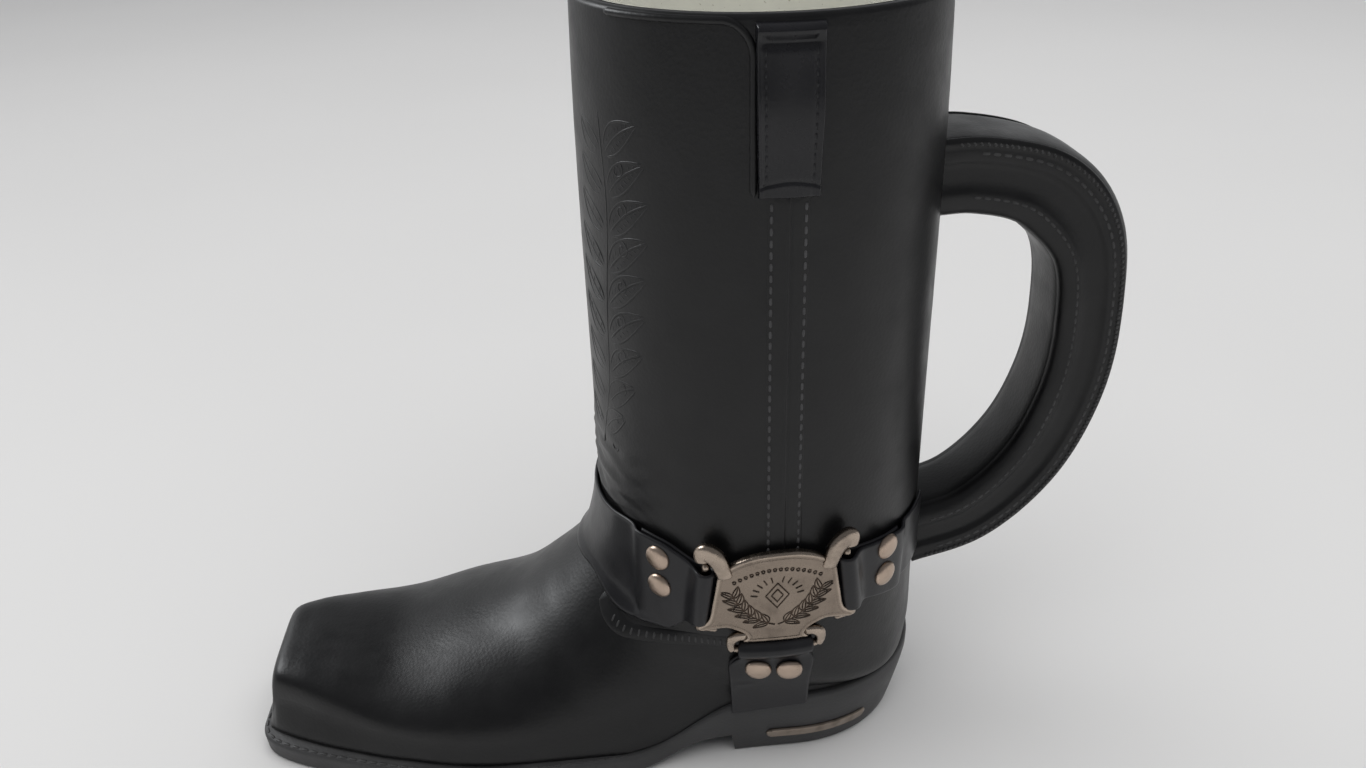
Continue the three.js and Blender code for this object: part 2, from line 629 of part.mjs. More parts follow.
// The ankle strap's lower and upper edge at x round the front, a way along from its bar: narrow there,
// broad at the side, and arched up over the instep.
function strapEdges(x, away, endWidth) {
  const broad = smooth(away / STRAP_SPREAD);
  const arch = STRAP_ARCH * (1 - smooth((Math.abs(x) - STRAP_ARCH_FROM) / STRAP_ARCH_RUN));
  const low = mix(HARNESS_Z - endWidth / 2, STRAP_SIDE_LOW_Z + arch, broad);
  const high = mix(HARNESS_Z + endWidth / 2, STRAP_SIDE_HIGH_Z - arch / 4, broad);
  return [low, high];
}
function frontStrap() {
  const leftBar = arc(HARNESS_PSI) - BAR_ACROSS;
  const rightBar = arc(RIGHT_PSI) + ringAcross;
  const left = leftEnd().map(([a, h]) => [leftBar - a, h]);
  const right = rightEnd().map(([a, h]) => [rightBar + a, h]);
  const line = runOn(left, right[right.length - 1][0] + 5, 5);
  return strapSheet([...line, ...right.reverse()], 4, (x, y, z) => {
    const onLeft = x > 0;
    const away = onLeft ? leftBar - x : x - rightBar;
    const [low, high] = strapEdges(x, away, onLeft ? STRAP_END_WIDTH : STRAP_RING_WIDTH);
    const at = mix(low, high, z);
    const lean = onLeft ? -barLean(at) * (1 - smooth(away / TAB_LENGTH)) : 0;
    return bent(0, x + lean, at, y);
  });
}
function rearStrap(side) {
  const left = side > 0;
  const start = left ? BAR_ACROSS : ringAcross;
  const width = left ? STRAP_END_WIDTH : STRAP_RING_WIDTH;
  const end = arc(180 - HARNESS_PSI) - HANDLE_WIDTH / 2 - 4;
  const folded = (left ? leftEnd() : rightEnd()).map(([a, h]) => [start + a, h]);
  return strapSheet(runOn(folded, end, 5), 4, (x, y, z) => {
    const grown = mix(width, STRAP_END_WIDTH, smooth((x - start - 6) / TAB_LENGTH));
    const at = HARNESS_Z + grown * (z - 0.5);
    const lean = left ? barLean(at) * (1 - smooth((x - start) / TAB_LENGTH)) : 0;
    return bent(HARNESS_PSI * side, side * (x + lean), at, y);
  });
}
const lowBarZ = HARNESS_Z - PLATE_HEIGHT / 2 - foldRadius(BAR_RADIUS) - STRAP_THICKNESS / 2 - JOINT;
function lowerStrap(side) {
  const left = side > 0;
  const width = left ? LOWER_STRAP_WIDTH : STRAP_RING_WIDTH;
  const barZ = left ? lowBarZ : HARNESS_Z - RING_RADIUS;
  const length = barZ - LOWER_STRAP_END_Z;
  const tab = Math.min(TAB_LENGTH, length - 5);
  const out = UNDER + foldRadius(RING_WIRE_RADIUS);
  const overBar = () => foldedEnd(BAR_RADIUS, BAR_OUT, 0, tab);
  const overRing = () => foldedEnd(RING_WIRE_RADIUS, out, ringSlack, tab);
  const folded = left ? overBar() : overRing();
  return strapSheet(runOn(folded, length, 3), 4, (x, y, z) => {
    const broad = mix(width, (width * LOWER_STRAP_BROAD) / LOWER_STRAP_WIDTH, smooth((x - 4) / 5));
    const across = broad * mix(1, 0.96, Math.max(0, x) / length);
    // The end hangs straight down over the sole's rim.
    const hang = Math.max(0, LOWER_STRAP_HANG_Z - barZ + x);
    const at = bent(HARNESS_PSI * side, across * (z - 0.5), barZ - x + hang, y);
    return at.setZ(at.z - hang);
  });
}

// Left fitting: a cast plate with three barred arms, one for each strap
const plateSide = BAR_ACROSS - foldRadius(BAR_RADIUS) - STRAP_THICKNESS / 2 - JOINT - 0.1;
const strapLow = HARNESS_Z - STRAP_END_WIDTH / 2;
const strapHigh = HARNESS_Z + STRAP_END_WIDTH / 2;
function plateOutline() {
  const side = (z) => plateSide + barLean(z);
  const top = HARNESS_Z + PLATE_HEIGHT / 2;
  const bottom = HARNESS_Z - PLATE_HEIGHT / 2;
  const neck = LOWER_STRAP_WIDTH / 2;
  const right = [
    [0, top + 0.8],
    [plateSide * 0.38, top - 0.6],
    [plateSide * 0.7, top - 1.8],
    [side(strapHigh) - 2.2, top - 1],
    [side(strapHigh), strapHigh],
    [side(strapLow), strapLow],
    [side(strapLow) + 0.8, strapLow - 0.8],
    [side(strapLow) - 1.4, strapLow - 1.6],
    [side(strapLow) - 4.5, strapLow + 0.6],
    [neck + 0.5, strapLow + 0.2],
    [neck - 1.6, strapLow - 1.8],
    [neck - 1.2, bottom + 1],
    [neck, bottom],
    [0, bottom - 0.2],
  ];
  const left = right.slice(1, -1).reverse().map(([x, z]) => [-x, z]);
  return [...right, ...left];
}
// The plate is flatter than the shaft: it stands further off the skin towards its arms.
const plateOut = (x) => PLATE_LIFT + (BAR_OUT - PLATE_LIFT) * 0.9 * (x / BAR_ACROSS) ** 2;
const onPlate = (x, z, out) => bent(HARNESS_PSI, x, z, plateOut(x) + out);
function plateBody() {
  const shape = new THREE.Shape(plateOutline().map(([x, z]) => new THREE.Vector2(x, z)));
  const options = {
    depth: PLATE_THICKNESS - 2 * PLATE_BEVEL, bevelEnabled: true, bevelSegments: 1,
    bevelThickness: PLATE_BEVEL, bevelSize: PLATE_BEVEL, bevelOffset: -PLATE_BEVEL,
  };
  const flat = new THREE.ExtrudeGeometry(shape, options);
  flat.deleteAttribute("normal");
  flat.deleteAttribute("uv");
  const fine = new TessellateModifier(11, 6).modify(flat);
  return toSolid(bend(fine, (x, y, z) => onPlate(x, y, PLATE_BEVEL + z)));
}
// A bent rod from point to point with blunt rounded ends, drawn against the way the plate faces.
function bentRod(points, radius) {
  const sides = 8;
  const last = points.length - 1;
  const facing = skin(HARNESS_PSI, HARNESS_Z).normal;
  const along = points.map((_, i) => {
    const before = points[Math.max(i - 1, 0)];
    return points[Math.min(i + 1, last)].clone().sub(before).normalize();
  });
  const beyond = (i, share) => points[i].clone().addScaledVector(along[i], share * radius);
  const circle = (i, share, scale) => {
    const across = along[i].clone().cross(facing).setLength(radius * scale);
    const out = across.clone().cross(along[i]);
    return Array.from({ length: sides }, (_, k) => {
      const turn = ((k + 0.5) / sides) * 2 * Math.PI;
      const rim = beyond(i, share).addScaledVector(across, Math.cos(turn));
      return rim.addScaledVector(out, Math.sin(turn));
    });
  };
  const rings = points.map((_, i) => circle(i, 0, 1));
  rings.unshift(circle(0, -0.6, 0.7));
  rings.push(circle(last, 0.6, 0.7));
  return toSolid(ringsBody(rings, beyond(0, -0.8), beyond(last, 0.8)));
}
function harnessPlate() {
  let solid = plateBody();
  const mid = PLATE_THICKNESS / 2;
  const clear = JOINT + LUG_RADIUS;
  const barEnd = (arm, z) => bent(HARNESS_PSI, arm * (BAR_ACROSS + barLean(z)), z, BAR_OUT);
  [-1, 1].forEach((arm) => {
    const high = barEnd(arm, strapHigh + clear);
    const footZ = strapLow - JOINT - FOOT_RADIUS;
    const low = barEnd(arm, footZ);
    const hornX = plateSide + barLean(strapHigh);
    const hornZ = strapHigh + clear + HORN_RISE;
    const horn = [
      high,
      bent(HARNESS_PSI, arm * (BAR_ACROSS - 1.2), hornZ - 0.8, BAR_OUT + 0.3),
      bent(HARNESS_PSI, arm * (hornX - 0.8), hornZ, BAR_OUT),
      onPlate(arm * (hornX - 3), strapHigh + 1.5, mid),
    ];
    const footX = plateSide + barLean(strapLow) - 1.2;
    const foot = [low, onPlate(arm * footX, footZ + 0.2, mid)];
    const bar = bentRod([high, barEnd(arm, HARNESS_Z), low], BAR_RADIUS);
    solid = solid.add(bar).add(bentRod(horn, LUG_RADIUS)).add(bentRod(foot, FOOT_RADIUS));
  });
  const reach = LOWER_STRAP_WIDTH / 2 + clear;
  const ends = [-1, 1].map((arm) => bent(HARNESS_PSI, arm * reach, lowBarZ, BAR_OUT));
  const lowBar = [-1, -0.5, 0, 0.5, 1].map((k) => bent(HARNESS_PSI, k * reach, lowBarZ, BAR_OUT));
  solid = solid.add(bentRod(lowBar, BAR_RADIUS));
  [-1, 1].forEach((arm, i) => {
    const root = onPlate(arm * (LOWER_STRAP_WIDTH / 2 - 2.6), HARNESS_Z - PLATE_HEIGHT / 2 + 2.6, mid);
    const knee = bent(HARNESS_PSI, arm * (reach + 0.3), lowBarZ + 4.6, BAR_OUT + 0.4);
    solid = solid.add(bentRod([ends[i], knee, root], LUG_RADIUS));
  });
  return toGeometry(solid.simplify(FACET_SLACK));
}

// Right fitting: a plain round ring, flat against the side
function harnessRing() {
  const out = UNDER + foldRadius(RING_WIRE_RADIUS);
  const top = bent(RIGHT_PSI, 0, HARNESS_Z + RING_RADIUS, out);
  const low = bent(RIGHT_PSI, 0, HARNESS_Z - RING_RADIUS, out);
  const up = top.clone().sub(low).normalize();
  const facing = skin(RIGHT_PSI, HARNESS_Z).normal.clone();
  facing.addScaledVector(up, -facing.dot(up)).normalize();
  const across = up.clone().cross(facing);
  return {
    geometry: new THREE.TorusGeometry(RING_RADIUS, RING_WIRE_RADIUS, 8, 28),
    position: top.clone().add(low).multiplyScalar(0.5),
    turn: new THREE.Matrix4().makeBasis(across, up, facing),
  };
}

// Rivets: low domes on the outer layer of each strap end
function rivetGeometry() {
  const dome = [90, 50, 0].map(
    (deg) => new THREE.Vector2(RIVET_RADIUS * Math.sin(deg * RAD), RIVET_HEIGHT * Math.cos(deg * RAD)),
  );
  const profile = [new THREE.Vector2(0, -0.3), new THREE.Vector2(RIVET_RADIUS, -0.3), ...dome];
  return new THREE.LatheGeometry(profile, 10);
}
const RIVET_OUT = OVER + STRAP_THICKNESS / 2 + JOINT + 0.35;
function rivetPlaces() {
  const places = {};
  const pair = (name, at) => {
    places[`rivet_${name}_a`] = at(0.5);
    places[`rivet_${name}_b`] = at(-0.5);
  };
  const sideRivets = (name, psi, across) =>
    pair(name, (k) => [psi, across, HARNESS_Z + RIVET_LIFT + k * RIVET_SPACING]);
  sideRivets("front_left", HARNESS_PSI, -BAR_ACROSS - RIVET_SETBACK);
  sideRivets("rear_left", HARNESS_PSI, BAR_ACROSS + RIVET_SETBACK);
  sideRivets("front_right", RIGHT_PSI, ringAcross + RIVET_SETBACK);
  sideRivets("rear_right", RIGHT_PSI, -ringAcross - RIVET_SETBACK);
  const lowRivets = (name, psi, spacing, barZ) =>
    pair(name, (k) => [psi, k * spacing, barZ - RIVET_SETBACK * 0.75]);
  lowRivets("lower_left", HARNESS_PSI, RIVET_SPACING, lowBarZ);
  lowRivets("lower_right", RIGHT_PSI, 2 * RIVET_RADIUS + JOINT, HARNESS_Z - RING_RADIUS - 3);
  return places;
}

// Heel plate: a bare bar on the heel's left side
function heelPlate() {
  const h = HEEL_PLATE_HEIGHT / 2;
  const l = HEEL_PLATE_LENGTH / 2;
  const shape = new THREE.Shape();
  shape.absarc(l - h, 0, h, -Math.PI / 2, Math.PI / 2, false);
  shape.absarc(-l + h, 0, h, Math.PI / 2, (3 * Math.PI) / 2, false);
  const options = { depth: HEEL_PLATE_THICKNESS, bevelEnabled: false, curveSegments: 3 };
  const flat = new THREE.ExtrudeGeometry(shape, options);
  flat.deleteAttribute("normal");
  flat.deleteAttribute("uv");
  const fine = new TessellateModifier(9, 6).modify(flat);
  const low = EDGE_ROUND;
  const high = HEEL_TOP_Z - EDGE_ROUND;
  return bend(fine, (x, y, out) => {
    const at = HEEL_PLATE_X + x;
    const z = HEEL_PLATE_Z + y;
    const wall = heelWall(at, mix(heelIn(0), heelIn(HEEL_TOP_Z), (z - low) / (high - low)));
    return new THREE.Vector3(at, -wall - JOINT - out, z);
  });
}

// Materials
const black = { color: 0x18181a, roughness: 0.42, metalness: 0 };
const material = (look) => new THREE.MeshStandardMaterial(look);
const glaze = () => material(black);
const soleGlaze = () => material({ ...black, roughness: 0.55 });
const metal = () => material({ color: 0x9a8a74, roughness: 0.38, metalness: 0.9 });

const boot = new THREE.Group();
function place(name, geometry, look) {
  const mesh = new THREE.Mesh(geometry, look);
  mesh.name = name;
  boot.add(mesh);
  return mesh;
}
const cutter = vesselCutter();
place("boot_vessel", vesselBody(), glaze());
place("outsole", outsole(cutter), soleGlaze());
place("heel_block", heelBlock(), soleGlaze());
place("handle", handle(cutter), glaze());
[["left", 1], ["right", -1]].forEach(([name, side]) => {
  place(`pull_strap_${name}`, pullStrap(side), glaze());
  place(`side_seam_${name}`, sideSeam(side), glaze());
  place(`rear_strap_${name}`, rearStrap(side), glaze());
  place(`lower_strap_${name}`, lowerStrap(side), glaze());
});
place("front_strap", frontStrap(), glaze());
place("harness_plate", harnessPlate(), metal());
const ringPiece = harnessRing();
const ringMesh = place("harness_ring", ringPiece.geometry, metal());
ringMesh.position.copy(ringPiece.position);
ringMesh.quaternion.setFromRotationMatrix(ringPiece.turn);
Object.entries(rivetPlaces()).forEach(([name, [psi, across, z]]) => {
  const mesh = place(name, rivetGeometry(), metal());
  const { normal } = skin(psi + across / (SHAFT_RADIUS * RAD), z);
  mesh.position.copy(bent(psi, across, z, RIVET_OUT));
  mesh.quaternion.setFromUnitVectors(new THREE.Vector3(0, 1, 0), normal);
});
place("heel_plate", heelPlate(), metal());

// The origin is on the floor under the shaft's axis, in the middle of the heel's front half.
export default boot;
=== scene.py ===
import math

import bmesh
import bpy
import numpy as np
from mathutils import Matrix, Vector, geometry


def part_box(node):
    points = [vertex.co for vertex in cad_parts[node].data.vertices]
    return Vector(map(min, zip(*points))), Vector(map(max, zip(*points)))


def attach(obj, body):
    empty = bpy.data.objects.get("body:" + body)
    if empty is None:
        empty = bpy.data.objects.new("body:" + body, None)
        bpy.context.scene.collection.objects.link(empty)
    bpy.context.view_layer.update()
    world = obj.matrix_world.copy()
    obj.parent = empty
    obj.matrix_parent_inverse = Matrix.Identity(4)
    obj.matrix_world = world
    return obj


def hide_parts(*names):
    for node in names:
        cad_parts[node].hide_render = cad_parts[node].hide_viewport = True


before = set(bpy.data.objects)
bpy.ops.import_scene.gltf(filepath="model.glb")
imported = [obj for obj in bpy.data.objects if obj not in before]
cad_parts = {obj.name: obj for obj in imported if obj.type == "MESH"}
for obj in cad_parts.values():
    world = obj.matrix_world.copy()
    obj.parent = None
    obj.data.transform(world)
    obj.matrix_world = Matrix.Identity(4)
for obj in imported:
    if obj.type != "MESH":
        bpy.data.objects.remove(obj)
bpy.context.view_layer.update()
MM = 0.001
DEG = math.pi / 180


def node_box(node):
    """A CAD node's lowest and highest corner in millimetres."""
    low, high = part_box(node)
    return np.array(low) / MM, np.array(high) / MM


# Driving sizes, read from the frame where a node's box shows them
HEIGHT = node_box("boot_vessel")[1][2]
SHAFT_RADIUS = 49.5
RIM_RADIUS = 48.6
WALL = 4.5
LIP_RADIUS = 1.4
ANKLE_Z = 88
INSTEP = (-56, 62)
VAMP = (-98, 35)
TOE_Z = 30.5
HEEL_END_X = 50
HEEL_ROUND_X = 6
HEEL_HALF = 41
HEEL_FULLNESS = 2.1
BALL_X = -92
BALL_HALF = 45.5
TOE_END_X = -164
TOE_TAPER = 21
TOE_SQUARENESS = 8
WELT = 1.8
FLARE = 7
SOLE_THICKNESS = 6
HEEL_SEAT_Z = 21
SHANK = (-46, -6)
ARCH_Z = 8
ARCH = (-46, -20)
HEEL_BREAST_X = -13
HEEL_TAPER = 4.2
SOLE_LEAN = 0.4
RIM_AT_TOE = 1.6
RIM_AT_HEEL = 4
JOINT = 0.35
HARNESS_Z = 72.2
HARNESS_PSI = 88
STRAP = 1.2
STRAP_END_WIDTH = 21
STRAP_END_RISE = 1.8
STRAP_SIDE_LOW_Z = 53.5
STRAP_SIDE_HIGH_Z = 86.5
STRAP_SPREAD = 13
STRAP_ARCH = 7
STRAP_ARCH_FROM = 12
STRAP_ARCH_RUN = 20
STRAP_RING_WIDTH = 14
TAB_LENGTH = 20
LOWER_STRAP_WIDTH = 21
LOWER_STRAP_BROAD = 27.2
LOWER_STRAP_SHIFT = -1.1
LOWER_STRAP_HANG_Z = 34
LOWER_STRAP_END_Z = 26
HANG_BEND = 6
BAR_RADIUS = 1.1
BAR_CLEAR = 0.6
BAR_ACROSS = 20.5
BAR_LEAN = 1.5
PLATE_TILT = 0.08
PLATE_HEIGHT = 31
PLATE_THICKNESS = 2.4
PLATE_LIFT = 1.6
RING_RADIUS = 14
RING_WIRE = 1.6
RIVET_RADIUS = 3.9
RIVET_HEIGHT = 1.5


# Small tools
def mix(a, b, t):
    return a + (b - a) * t


def smooth(t):
    """An eased step from 0 to 1."""
    c = np.clip(t, 0.0, 1.0)
    return c * c * (3 - 2 * c)


def domed(t):
    """A quarter round from 0 up to 1."""
    c = np.clip(t, 0, 1)
    return np.sqrt(c * (2 - c))


def bell(x, at, width):
    """A bump of height 1 at one place, gone about two widths away."""
    return np.exp(-(((x - at) / width) ** 2))


def unit(v):
    return v / np.maximum(np.linalg.norm(v, axis=-1, keepdims=True), 1e-9)


def full_turn(count):
    return np.linspace(0, 2 * math.pi, count, endpoint=False)


def directions(line):
    """At each point of a flat line, the direction along it and the one a quarter turn to its left."""
    along = unit(np.gradient(line, axis=0))
    return along, np.stack([-along[:, 1], along[:, 0]], -1)


def run_lengths(line):
    """How far along a line each of its points is."""
    return np.concatenate([[0], np.cumsum(np.linalg.norm(np.diff(line, axis=0), axis=1))])


def read_off(values, lengths, at):
    """Values known at some lengths along a line, read off at others."""
    return np.stack([np.interp(at, lengths, values[:, k]) for k in range(values.shape[1])], -1)


def even_steps(line, count):
    """The same line with points at even steps along it."""
    lengths = run_lengths(line)
    return read_off(line, lengths, np.linspace(0, lengths[-1], count))


def curve_through(points, count):
    """Even points along a smooth curve through the given ones."""
    p = np.asarray(points, float)
    p = np.vstack([2 * p[0] - p[1], p, 2 * p[-1] - p[-2]])
    spans = []
    t = np.linspace(0, 1, 24, endpoint=False)[:, None]
    for a, b, c, d in zip(p, p[1:], p[2:], p[3:]):
        steps = [max(np.linalg.norm(v - u), 1e-6) ** 0.5 for u, v in ((a, b), (b, c), (c, d))]
        _, k1, k2, k3 = np.cumsum([0] + steps)
        at = mix(k1, k2, t)
        ab = mix(a, b, at / k1)
        bc = mix(b, c, (at - k1) / (k2 - k1))
        cd = mix(c, d, (at - k2) / (k3 - k2))
        abc = mix(ab, bc, at / k2)
        bcd = mix(bc, cd, (at - k1) / (k3 - k1))
        spans.append(mix(abc, bcd, (at - k1) / (k2 - k1)))
    return even_steps(np.vstack([*spans, p[-2:-1]]), count)


# Materials, each a small node tree
class Nodes:
    """A node tree of a material or world, with short ways to add a node and join two of them."""

    def __init__(self, owner):
        self.owner = owner
        owner.use_nodes = True
        self.tree = owner.node_tree
        self.shader = self.tree.nodes.get("Principled BSDF")
        self.coordinates = self.add("ShaderNodeTexCoord").outputs

    def add(self, kind, **values):
        """A new node; each value sets the node's own property or, failing that, the input of that name."""
        node = self.tree.nodes.new(kind)
        for key, value in values.items():
            if hasattr(node, key):
                setattr(node, key, value)
            else:
                node.inputs[key.replace("_", " ")].default_value = value
        return node

    def join(self, a, b):
        self.tree.links.new(a, b)

    def noise(self, per_metre, detail, rough=0.55):
        node = self.add("ShaderNodeTexNoise", Scale=per_metre, Detail=detail, Roughness=rough)
        self.join(self.coordinates["Object"], node.inputs["Vector"])
        return node.outputs["Fac"]

    def ramp(self, source, stops):
        node = self.add("ShaderNodeValToRGB")
        ramp = node.color_ramp
        while len(ramp.elements) < len(stops):
            ramp.elements.new(0.5)
        for element, (at, colour) in zip(ramp.elements, stops):
            element.position = at
            element.color = (*colour, 1)
        self.join(source, node.inputs["Fac"])
        return node.outputs["Color"]

    def bump(self, heights):
        """Stacked bumps from (source, metres) pairs."""
        last = None
        for source, depth in heights:
            node = self.add("ShaderNodeBump", Strength=1.0, Distance=depth)
            self.join(source, node.inputs["Height"])
            if last:
                self.join(last, node.inputs["Normal"])
            last = node.outputs["Normal"]
        self.join(last, self.shader.inputs["Normal"])

    def times(self, a, b, share=1.0):
        """Two colours multiplied, the second by a share."""
        node = self.add("ShaderNodeMix", data_type="RGBA", blend_type="MULTIPLY", Factor=share)
        self.join(a, node.inputs["A"])
        self.join(b, node.inputs["B"])
        return node.outputs["Result"]

    def colour(self, socket):
        self.join(socket, self.shader.inputs["Base Color"])

    def roughness(self, source, low, high):
        """Roughness that follows the middle of a noise's range between two values."""
        node = self.add("ShaderNodeMapRange", From_Min=0.3, From_Max=0.7, To_Min=low, To_Max=high)
        self.join(source, node.inputs["Value"])
        self.join(node.outputs["Result"], self.shader.inputs["Roughness"])


def glaze(name, dark, light, rough_low, rough_high, grain):
    """Black glaze over a leather grain: cloudy depth, uneven sheen, a fine pitted surface."""
    n = Nodes(bpy.data.materials.new(name))
    n.colour(n.ramp(n.noise(55, 5), [(0.3, dark), (0.7, light)]))
    n.roughness(n.noise(110, 4), rough_low, rough_high)
    n.shader.inputs["Specular IOR Level"].default_value = 0.4
    pits = n.add("ShaderNodeTexVoronoi", Scale=900.0)
    n.join(n.coordinates["Object"], pits.inputs["Vector"])
    n.bump([
        (n.noise(28, 2), grain * 2.2),
        (n.noise(90, 3), grain * 0.4),
        (pits.outputs["Distance"], grain),
        (n.noise(2600, 2), grain * 0.4),
    ])
    return n.owner


def bore_glaze():
    """Pale glaze inside the cup: faint cream clouds and small dark specks, wet-looking."""
    n = Nodes(bpy.data.materials.new("bore_glaze"))
    cloud = n.ramp(n.noise(30, 4), [(0.35, (0.86, 0.86, 0.79)), (0.65, (0.94, 0.94, 0.87))])
    specks = n.ramp(n.noise(900, 2), [(0.26, (0.45, 0.42, 0.36)), (0.3, (1.0, 1.0, 1.0))])
    n.colour(n.times(cloud, specks, 0.6))
    n.roughness(n.noise(60, 3), 0.14, 0.24)
    n.bump([(n.noise(70, 2), 0.00012)])
    return n.owner


def bronze(name, base, dark, rough):
    """Cast metal with a fine grain, painted shade where ambient occlusion finds it sheltered, and a dark
    film from a mesh attribute: engraving ink, plus a face film left off the rim that is partly wear and
    partly a painted highlight.
    """
    n = Nodes(bpy.data.materials.new(name))
    bright = tuple(min(1.0, 1.12 * c) for c in base)
    clean = n.ramp(n.noise(160, 4, 0.5), [(0.25, dark), (0.45, base), (0.75, bright)])
    # Painted shade: the colour darkens where ambient occlusion finds the metal sheltered.
    occlusion = n.add("ShaderNodeAmbientOcclusion", samples=8, Distance=0.0016)
    painted_shade = n.ramp(occlusion.outputs["AO"], [(0.35, (0.2, 0.17, 0.14)), (0.8, (1, 1, 1))])
    # The attribute holds the engraving's ink and the face's film; where the film is left off the rim, the
    # metal shows a painted highlight.
    engraved = n.add("ShaderNodeAttribute", attribute_name="ink_and_highlight_film")
    ink_and_rim_highlight = n.ramp(engraved.outputs["Fac"], [(0.2, (1, 1, 1)), (0.75, (0.16, 0.14, 0.13))])
    n.colour(n.times(n.times(clean, painted_shade), ink_and_rim_highlight))
    n.shader.inputs["Metallic"].default_value = 1.0
    n.roughness(n.noise(420, 5), rough - 0.06, rough + 0.1)
    n.bump([(n.noise(500, 4), 0.00005), (n.noise(3000, 2), 0.000015)])
    return n.owner


BLACK = glaze("black_glaze", (0.0045, 0.0045, 0.005), (0.0075, 0.0075, 0.008), 0.34, 0.46, 0.00003)
STRAP_BLACK = glaze("strap_glaze", (0.009, 0.009, 0.0105), (0.0145, 0.0145, 0.017), 0.3, 0.4, 0.00002)
PULL_BLACK = glaze("pull_strap_glaze", (0.008, 0.008, 0.0095), (0.013, 0.013, 0.0155), 0.23, 0.29, 0.00001)
# Painted light: the sole's glaze is paler than the boot's. It is partly a grey glaze and partly stands in
# for light bounced up from the floor.
SOLE_GLAZE_WITH_PAINTED_BOUNCE = glaze("sole_glaze", (0.034, 0.034, 0.035), (0.052, 0.052, 0.054), 0.42, 0.56, 0.00004)
STITCH_BLACK = glaze("stitch_glaze", (0.03, 0.03, 0.031), (0.055, 0.055, 0.056), 0.4, 0.55, 0.00003)
SEAM_STITCH = glaze("seam_stitch_glaze", (0.045, 0.045, 0.047), (0.08, 0.08, 0.083), 0.4, 0.55, 0.00003)
BORE = bore_glaze()
BRONZE = bronze("plate_bronze", (0.44, 0.365, 0.30), (0.28, 0.23, 0.19), 0.26)
COPPER = bronze("rivet_bronze", (0.52, 0.41, 0.33), (0.36, 0.28, 0.215), 0.32)
HEEL_METAL = bronze("heel_plate_bronze", (0.33, 0.275, 0.23), (0.17, 0.14, 0.115), 0.36)


def add_object(name, data):
    thing = bpy.data.objects.new(name, data)
    bpy.context.scene.collection.objects.link(thing)
    return thing


# Shapes are (verts, faces) pairs until they are added as pieces
def add_piece(name, shape, material, replaced=(), sharp=None):
    """Adds a shape as a piece that rides with the stein, in place of the CAD nodes it replaces."""
    verts, faces = shape
    mesh = bpy.data.meshes.new(name)
    mesh.from_pydata((np.asarray(verts) * MM).tolist(), [], [tuple(f) for f in faces])
    shell = bmesh.new()
    shell.from_mesh(mesh)
    bmesh.ops.recalc_face_normals(shell, faces=shell.faces)
    shell.to_mesh(mesh)
    shell.free()
    mesh.polygons.foreach_set("use_smooth", [True] * len(mesh.polygons))
    if sharp:
        mesh.set_sharp_from_angle(angle=sharp * DEG)
    mesh.materials.append(material)
    piece = add_object(name, mesh)
    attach(piece, "root")
    if replaced:
        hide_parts(*replaced)
    return piece


def grid_faces(rows, columns, wrap):
    """Quads over points numbered row by row, closed round each row where wrap is set."""
    i, j = np.meshgrid(np.arange(rows - 1), np.arange(columns if wrap else columns - 1), indexing="ij")
    a = i * columns + j
    b = i * columns + (j + 1) % columns
    return np.stack([a, b, b + columns, a + columns], -1).reshape(-1, 4).tolist()


def closed_rings(rings, first=None, last=None):
    """A skin over a stack of closed rings, with a fan to a point at each end that is given one."""
    rings = np.asarray(rings)
    rows, columns = rings.shape[:2]
    verts = rings.reshape(-1, 3)
    faces = grid_faces(rows, columns, True)
    for tip, base in ((first, 0), (last, (rows - 1) * columns)):
        if tip is None:
            continue
        faces += [(len(verts), base + j, base + (j + 1) % columns) for j in range(columns)]
        verts = np.vstack([verts, np.asarray(tip)[None]])
    return verts, faces


def capped(rings):
    """A skin over a stack of closed rings, with a fan to the middle of each end ring."""
    return closed_rings(rings, rings[0].mean(0), rings[-1].mean(0))


def merged(shapes):
    """Several shapes as one."""
    verts, faces, base = [], [], 0
    for v, f in shapes:
        verts.append(np.asarray(v))
        faces += [tuple(i + base for i in face) for face in f]
        base += len(v)
    return np.vstack(verts), faces


# The boot's form: sections from the rim down the shaft, round the heel and along the foot to the toe.
# A section is its front x and z, its back x and z, its half width, the share of the way back where it is
# widest, how square it is in front and at the back, and how far its back flares.
def sole_half(x):
    """Half width of the sole at x."""
    x = np.asarray(x, float)
    heel = np.clip((x - HEEL_ROUND_X) / (HEEL_END_X - HEEL_ROUND_X), 0, 1)
    toe_share = np.clip((BALL_X - x) / (BALL_X - TOE_END_X), 0, 1)
    at_heel = HEEL_HALF * (1 - heel**HEEL_FULLNESS) ** (1 / HEEL_FULLNESS)
    waist = mix(BALL_HALF, HEEL_HALF, smooth((x - BALL_X) / (HEEL_ROUND_X - BALL_X)))
    squared = (1 - toe_share**TOE_SQUARENESS) ** (1 / TOE_SQUARENESS)
    at_toe = (BALL_HALF - TOE_TAPER * toe_share**1.25) * squared
    return np.where(x >= HEEL_ROUND_X, at_heel, np.where(x >= BALL_X, waist, at_toe))


def shank_rise(x):
    """How far up the shank x is: 0 at its front end, 1 at the heel's seat."""
    return smooth((x - SHANK[0]) / (SHANK[1] - SHANK[0]))


def seat_z(x):
    return mix(SOLE_THICKNESS, HEEL_SEAT_Z, shank_rise(x))


def round_section(z, radius):
    return (-radius, z, radius, z, radius, 0.5, 2, 2, 0)


def ankle_section(front_x, front_z, back, slimming, widest, square_back):
    front = (mix(-SHAFT_RADIUS, INSTEP[0], front_x), mix(ANKLE_Z, INSTEP[1], front_z))
    return (*front, *back, mix(SHAFT_RADIUS, HEEL_HALF, slimming), widest, 2, square_back, 0)


